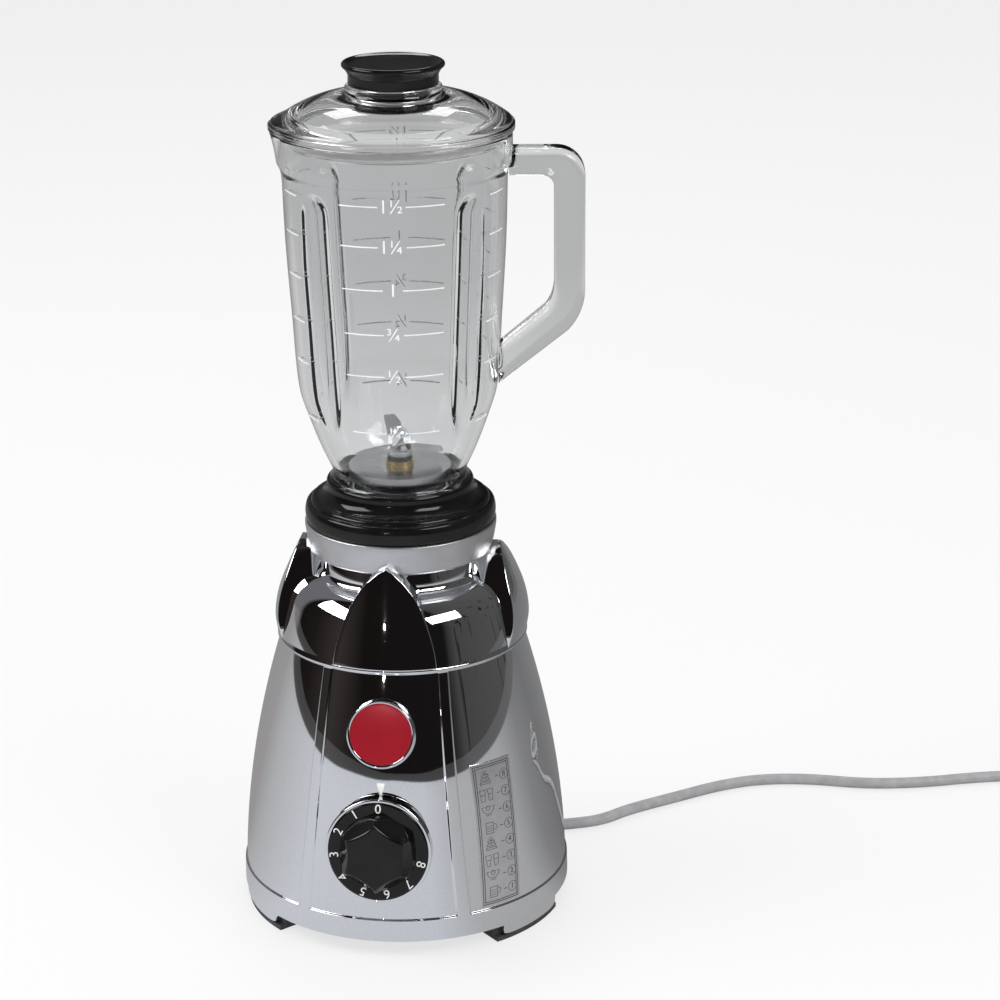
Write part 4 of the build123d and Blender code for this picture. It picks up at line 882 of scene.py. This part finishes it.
# measuring scale pressed into the jar: lines and figures in litres on its front and back
scaleSet = {"heights": (432.5, 410.0, 385.6, 360.0, 335.8, 301.3),
            "figures": ("1\u00bd", "1\u00bc", "1", "\u00be", "\u00bd", "\u00bc"),
            "figure": 10.5, "thick": 0.35, "line": 0.42, "gap": 5.5, "wideGap": 7.7,
            "turns": (-27.0, 27.0), "step": 1.5, "sideTurns": ((-72.0, -57.0), (57.0, 72.0))}


def onJar(middle):   # middle: the direction of the scale in the jar's frame, in degrees
    def place(across, up, out):
        turn = math.radians(middle) + across / jarRadius(math.radians(middle), up)
        return polar(jarRadius(turn, up) + out, turn, up)
    return place


def makeScale():
    s, paths, figures = scaleSet, [], []
    for middle in (-90.0, 90.0):
        place = onJar(middle)
        for height, figure in zip(s["heights"], s["figures"]):
            reach = jarRadius(math.radians(middle), height)
            gap = math.degrees(s["wideGap" if len(figure) > 1 else "gap"] / reach)
            for low, high in ((s["turns"][0], -gap), (gap, s["turns"][1]), *s["sideTurns"]):
                turns = spread(low, high, max(2, round((high - low) / s["step"])))
                paths.append([place(math.radians(turn) * reach, height, 0.02) for turn in turns])
            mark = textMesh(figure, s["figure"], s["thick"])
            figures.append(wrapped(mark, lambda x, y, z: place(x, y + height, z)))
    lines = linesAlong(paths, s["line"], "glass_frost")
    return joined([lines, joined(figures)])


scaleMesh = makeScale()
scaleMesh.transform(jarPlace)
addPiece("jar_scale", scaleMesh, "jar", "jar_glass", finish="glass_frost")
print("scale pressed")

# lid: clear moulding with a lip over the spout
lidSet = {"z": 462.3, "flange": 4.0, "radius": 67.2, "plug": 58.5, "plugZ": 454.8, "hollow": 55.5,
          "dome": ((65.5, 467.8), (47.5, 477.8), (27.3, 482.4)), "neck": 27.0, "neckZ": 487.0, "hole": 22.0,
          "lip": 32.0, "lipAt": 38.0, "wall": 3.0}


def lidReach(radius, height, turn):   # the flange's edge runs out over the spout
    s = lidSet
    away = math.remainder(turn - math.pi, math.tau)
    inside = s["lip"] ** 2 - (s["lipAt"] * math.sin(away)) ** 2
    if radius > s["radius"] - 3 and inside > 0 and abs(away) < 1:
        lip = s["lipAt"] * math.cos(away) + math.sqrt(inside) - (s["radius"] - radius)
        return -softMin(-radius, -lip, 3.0)
    return radius


def makeLid():
    s = lidSet
    low, wall, neck, plug, hollow = (s[key] for key in ("z", "wall", "neck", "plug", "hollow"))
    flange = low + s["flange"]
    edge, middle, high = s["dome"]
    inner = (neck, high[1] - wall - 0.1)
    outline = softened([(plug, s["plugZ"] + 1), (plug, low, 0.3), (s["radius"], low, 1.0),
                        (s["radius"], flange, 1.2), (edge[0] + 0.2, flange + 0.2, 0.2), edge])
    outline += arc(edge, middle, high, 26)
    outline += softened([(neck, high[1] + 1.0), (neck, s["neckZ"], 0.8), (s["hole"], s["neckZ"], 0.5),
                         (s["hole"], high[1] - wall, 0.5), inner])[1:]
    outline += arc(inner, (middle[0] - 1, middle[1] - wall), (hollow, edge[1] + 0.7), 20)
    outline += softened([(hollow, low), (hollow, s["plugZ"], 0.8), (plug, s["plugZ"], 0.8)])
    return turnedMesh(outline, jarPlace, 192, lidReach)


addPiece("lid_moulding", makeLid(), "lid", "lid_clear", ["jar_lid"])

# stopper: black cap with a flared brim and a dished top
stopperSet = {"seatZ": 487.3, "band": 25.2, "brim": ((25.2, 492.8), (26.9, 495.9), (28.45, 497.4)),
              "edge": ((28.45, 497.4), (28.4, 499.3), (26.8, 499.95)),
              "dish": ((26.8, 499.95), (24.4, 499.1), (21.0, 498.75)),
              "middle": ((14.0, 498.7), (7.0, 498.65), (0, 498.65)),
              "plug": 21.7, "plugZ": 472.3, "wall": 2.5}


def makeStopper():
    s = stopperSet
    seat, plug, plugZ = s["seatZ"], s["plug"], s["plugZ"]
    inner, ceiling = plug - s["wall"], seat + s["wall"]
    outline = [(0, ceiling)] + softened([(inner, ceiling, 0.5), (inner, plugZ, 0.6), (plug, plugZ, 0.8),
                                         (plug, seat, 0.3), (s["band"], seat, 0.6), s["brim"][0]])
    for curve in (s["brim"], s["edge"], s["dish"]):
        outline += arc(*curve, 9)
    return turnedMesh(outline + [*s["middle"]])


addPiece("stopper_cap", makeStopper(), "stopper", "bakelite", ["lid_stopper"])
print("lid and stopper made")


# dial, badge: turned pieces on the leaning front panel
def panelFrame(z):
    lean = skirtLean(z)
    out = Vector((0, -math.cos(lean), math.sin(lean)))
    across = Vector((1, 0, 0))
    turned = Matrix((across, out.cross(across), out)).transposed().to_4x4()
    origin = Vector((0, housingSet["recess"] - skirtRadius(z), z)) * mm
    return Matrix.Translation(origin) @ turned


dialSet = {"z": 67.6, "radius": 29.0, "trim": 30.5, "back": 1.8, "face": 9.0, "grip": 12.5,
           "gripFoot": 22.0, "flank": 15.2, "hollow": 41.0, "lobes": 6, "round": 0.9, "numeral": 7.5,
           "numeralRadius": 25.1, "pitch": 32.0}
dialFrame = panelFrame(dialSet["z"])


def gripRadius(turn, height):   # a round foot whose flanks are scooped in towards the top, a lobe at turn 0
    s = dialSet
    lean = math.atan2(s["gripFoot"] - s["flank"], s["grip"])
    away = math.remainder(turn - math.pi / s["lobes"], math.tau / s["lobes"])
    far = s["gripFoot"]
    for _ in range(8):
        deep = s["hollow"] - math.sqrt(max(0.0, s["hollow"] ** 2 - (far * math.sin(away)) ** 2))
        far = (s["gripFoot"] - height * math.tan(lean) + deep / math.cos(lean)) / math.cos(away)
    return softMin(s["gripFoot"] - 0.03 * height, far, s["round"])


def makeGrip():
    s = dialSet
    base, top = s["face"] - 0.5, s["face"] + s["grip"]
    rows = [(0.0, z) for z in (base, base + 0.5, *spread(s["face"], top, 12)[1:-2])]
    rows += [(s["round"] * (1 - math.cos(a)), top - s["round"] * (1 - math.sin(a)))
             for a in spread(0, math.pi / 2, 6)]
    turns, loops = spread(0, math.tau, 240)[:-1], []
    for inset, z in rows:
        fars = [gripRadius(turn, min(max(z - s["face"], 0.0), s["grip"])) - inset for turn in turns]
        loops.append([(far * math.sin(turn), far * math.cos(turn), z) for far, turn in zip(fars, turns)])
    for share in (0.75, 0.4):   # the flat top
        loops.append([(x * share, y * share, top) for x, y, _ in loops[len(rows) - 1]])
    return loftMesh(loops + [[(0, 0, top)]], False, dialFrame)


dialBack, dialFront, dialEdge = dialSet["back"], dialSet["face"], dialSet["radius"] - 0.3
dialDisc = turnedMesh(softened([(3.0, dialBack, 0.2), (dialEdge, dialBack, 0.4), (dialEdge, dialFront, 1.0),
                                (3.0, dialFront, 0.2)]), dialFrame)
dialTrim = turnedMesh(softened([(dialEdge, dialBack, 0.2), (dialSet["trim"], dialBack, 0.4),
                                (dialSet["trim"], dialFront - 0.8, 0.7), (dialEdge, dialFront - 0.8, 0.3)]),
                      dialFrame)


def makeNumerals():
    s, marks = dialSet, []
    for number in range(9):   # 0 at the top, the rest against the clock
        mark = textMesh(str(number), s["numeral"], 0.06)
        turn = Matrix.Rotation(math.radians(s["pitch"] * number), 4, "Z")
        mark.transform(dialFrame @ turn @ Matrix.Translation((0, s["numeralRadius"] * mm, s["face"] * mm)))
        marks.append(mark)
    return joined(marks)


addPiece("dial_knob_moulding", joined([dialDisc, makeGrip()]), "dial", "bakelite", ["dial_knob"])
addPiece("dial_trim_ring", dialTrim, "dial", "chrome", ["dial_trim"])
addPiece("dial_numerals", makeNumerals(), "dial", "bakelite", finish="white_paint")

badgeSet = {"z": 132.5, "radius": 19.8, "disc": 17.7, "low": 0.4, "high": 4.2, "crown": 0.35}
badgeFrame = panelFrame(badgeSet["z"])


def makeBadgeRim():
    radius, disc, low, high = (badgeSet[key] for key in ("radius", "disc", "low", "high"))
    outline = softened([(0, low), (radius, low, 0.3), (radius, high - 1.4), (disc + 1.1, high + 0.5, 0.8),
                        (disc, high, 0.4), (disc, high - 1, 0.1), (0, high - 1)], 6)
    return turnedMesh(outline, badgeFrame)


def makeBadgeDisc():
    edge, high = badgeSet["disc"] - 0.05, badgeSet["high"]
    outline = [(0, high - 0.9), (edge, high - 0.9), (edge, high - 0.3)]
    outline += arc(outline[-1], (edge - 0.1, high - 0.08), (edge - 0.4, high), 4)
    outline += [(edge * k, high + badgeSet["crown"] * (1 - k * k)) for k in (0.9, 0.75, 0.55, 0.3, 0.12, 0)]
    return turnedMesh(outline, badgeFrame)


addPiece("badge_bezel", makeBadgeRim(), "base", "chrome", ["badge_rim"])
addPiece("badge_enamel", makeBadgeDisc(), "base", "enamel_red", ["badge_disc"])

# index mark over the dial: a small enamelled wedge in the panel
indexSet = {"z": 100.2, "top": (2.3, 4.4), "tip": (0.4, -3.6), "back": -0.15, "out": 0.45,
            "chamfer": (0.86, 0.95, 0.15)}


def makeIndex():
    s = indexSet
    (wide, high), (narrow, low) = s["top"], s["tip"]
    outline = [(-wide, high), (wide, high), (narrow, low), (-narrow, low)]
    narrower, shorter, deep = s["chamfer"]
    levels = ((s["back"], 1, 1), (s["out"] - deep, 1, 1), (s["out"], narrower, shorter))
    return loftMesh([[(x * a, y * b, out) for x, y in outline] for out, a, b in levels], False,
                    panelFrame(s["z"]))


addPiece("index_mark", makeIndex(), "base", "chrome", ["index_pointer"], "white_paint")

# guide plate's print: a frame, small figures of kitchen jobs and the dial's numbers
guideSet = {"turn": -46.1, "low": 25.0, "width": 27.5, "height": 85.5, "sunk": 0.42, "line": 0.28,
            "fine": 0.2, "figure": 4.6, "thick": 0.12, "margins": (1.5, 2.7), "jobsAt": (-5.2, 5.2),
            "pitch": 9.7, "numberAt": (8.2, 3.1), "ring": 3.0, "dash": (2.0, 4.0), "numbers": "12345678"}


def onGuide(across, up, out=0):   # across from the plate's middle, up from its foot
    s = guideSet
    turn, z = math.radians(s["turn"]), s["low"] + up
    far = skirtRadius(z) - s["sunk"] + out
    deep = math.sqrt(far * far - across * across)
    x, y = math.cos(turn), math.sin(turn)
    return x * deep - y * across, y * deep + x * across, z


def drawnBox(middle, low, wide, high, step=6):   # its sides are cut for the curved plate
    left, right, top = middle - wide / 2, middle + wide / 2, low + high
    corners = [(left, low), (right, low), (right, top), (left, top), (left, low)]
    return [point for first, second in zip(corners, corners[1:])
            for point in zip(*(spread(a, b, step) for a, b in zip(first, second)))]


def drawnRound(middle, height, radius, start=0, end=360, step=30):
    return [(middle + radius * math.cos(math.radians(a)), height + radius * math.sin(math.radians(a)))
            for a in range(start, end + 1, step)]


def flatLine(half, height, middle=0.0):
    return [(middle - half, height), (middle + half, height)]


# the jobs: a jug with a handle, a bowl on a foot, two glasses, a stack of slices
jug = [drawnBox(0, 0, 5.0, 6.4), drawnRound(3.1, 3.4, 1.7, -90, 90)]
jug += [flatLine(2.0, h) for h in (1.4, 2.8, 4.2)]
bowl = [drawnRound(0, 6.2, 4.2, 180), flatLine(4.4, 6.2), flatLine(1.8, 1.2), drawnRound(0, 5.4, 1.3)]
glasses = [path for m in (-2.6, 2.6) for path in (
    [(m - 1.9, 6.6), (m - 1.1, 0), (m + 1.1, 0), (m + 1.9, 6.6), (m - 1.9, 6.6)], flatLine(1.5, 3.6, m))]
slices = [drawnBox(0, h, 7.0 - h * 0.6, 1.2, 3) for h in (0.2, 2.2, 4.2)] + [drawnRound(0, 6.6, 0.9)]


def makeGuidePrint():
    s = guideSet
    (left, low), (numberX, numberY) = s["jobsAt"], s["numberAt"]
    bold = [drawnBox(0, m, s["width"] - 2 * m, s["height"] - 2 * m, 16) for m in s["margins"]]
    fine, numbers = [], []
    for i, number in enumerate(s["numbers"]):   # one job to a number, from the foot up
        y = low + s["pitch"] * i
        fine += [[(left + a, y + b) for a, b in path] for path in (jug, bowl, glasses, slices)[i % 4]]
        fine.append(drawnRound(numberX, y + numberY, s["ring"]))
        bold.append([(x, y + numberY) for x in s["dash"]])
        numbers.append(wrapped(textMesh(number, s["figure"], s["thick"]),
                               lambda a, b, c: onGuide(a + numberX, b + y + numberY, c)))
    lines = [linesAlong([[onGuide(*point) for point in path] for path in paths], s[key],
                        "dark_ink", 4) for key, paths in (("line", bold), ("fine", fine))]
    return joined(lines + numbers)


addPiece("guide_print", makeGuidePrint(), "base", "guide_metal", finish="dark_ink")
print("dial, badge and guide made")

# lead: the route's points in metres, along the table, then its coil and the rise into the plug
leadSet = {"radius": 0.0035, "coil": (0.427, 0.236), "perTurn": 16, "plug": (0.4785, 0.246, 0.0125),
           "turns": ((0.0405, 0.0036), (0.0365, 0.0036), (0.0365, 0.0108), (0.0435, 0.0108))}
leadRoute = ((0.022, 0.066, 0.005), (0.049, 0.073, 0.0042), (0.070, 0.081, 0.0037), *(
    (x, y, 0.0036) for x, y in ((0.093, 0.0875), (0.110, 0.0955), (0.124, 0.112), (0.150, 0.132),
                                (0.179, 0.155), (0.204, 0.1675), (0.236, 0.172), (0.272, 0.168),
                                (0.308, 0.174), (0.345, 0.187), (0.386, 0.1955))))


def leadPoints():
    s = leadSet
    points, (cx, cy), laps, count = list(leadRoute), s["coil"], s["turns"], s["perTurn"]
    for i in range(int(count * (len(laps) + 0.2))):
        turn = i / count
        lap = min(int(turn + 0.15), len(laps) - 1)
        share = smooth((turn + 0.15 - lap) / 0.3) if lap else 1.0
        radius, z = (a + (b - a) * share for a, b in zip(laps[max(lap - 1, 0)], laps[lap]))
        x, y, _ = polar(radius, math.tau * turn - math.pi / 2, z)
        points.append((cx + x, cy + y, z))
    px, py, pz = s["plug"]
    return points + [(px - 0.001, py - 0.006, pz - 0.0005), (px, py + 0.004, pz)]


def makeLead():
    curve = bpy.data.curves.new("lead", "CURVE")
    curve.dimensions = "3D"
    spline = curve.splines.new("NURBS")
    points = leadPoints()
    spline.points.add(len(points) - 1)
    spline.points.foreach_set("co", [c for point in points for c in (*point, 1)])
    spline.order_u, spline.use_endpoint_u, spline.resolution_u = 3, True, 6
    curve.bevel_depth = leadSet["radius"]
    curve.bevel_resolution = 5
    curve.use_fill_caps = True
    curve.materials.append(finishes["cord_grey"])
    lead = placed("mains_lead", curve)
    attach(lead, "base")
    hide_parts("cord", "cord_coil")
    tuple(leadRoute[0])


makeLead()
print("lead laid")
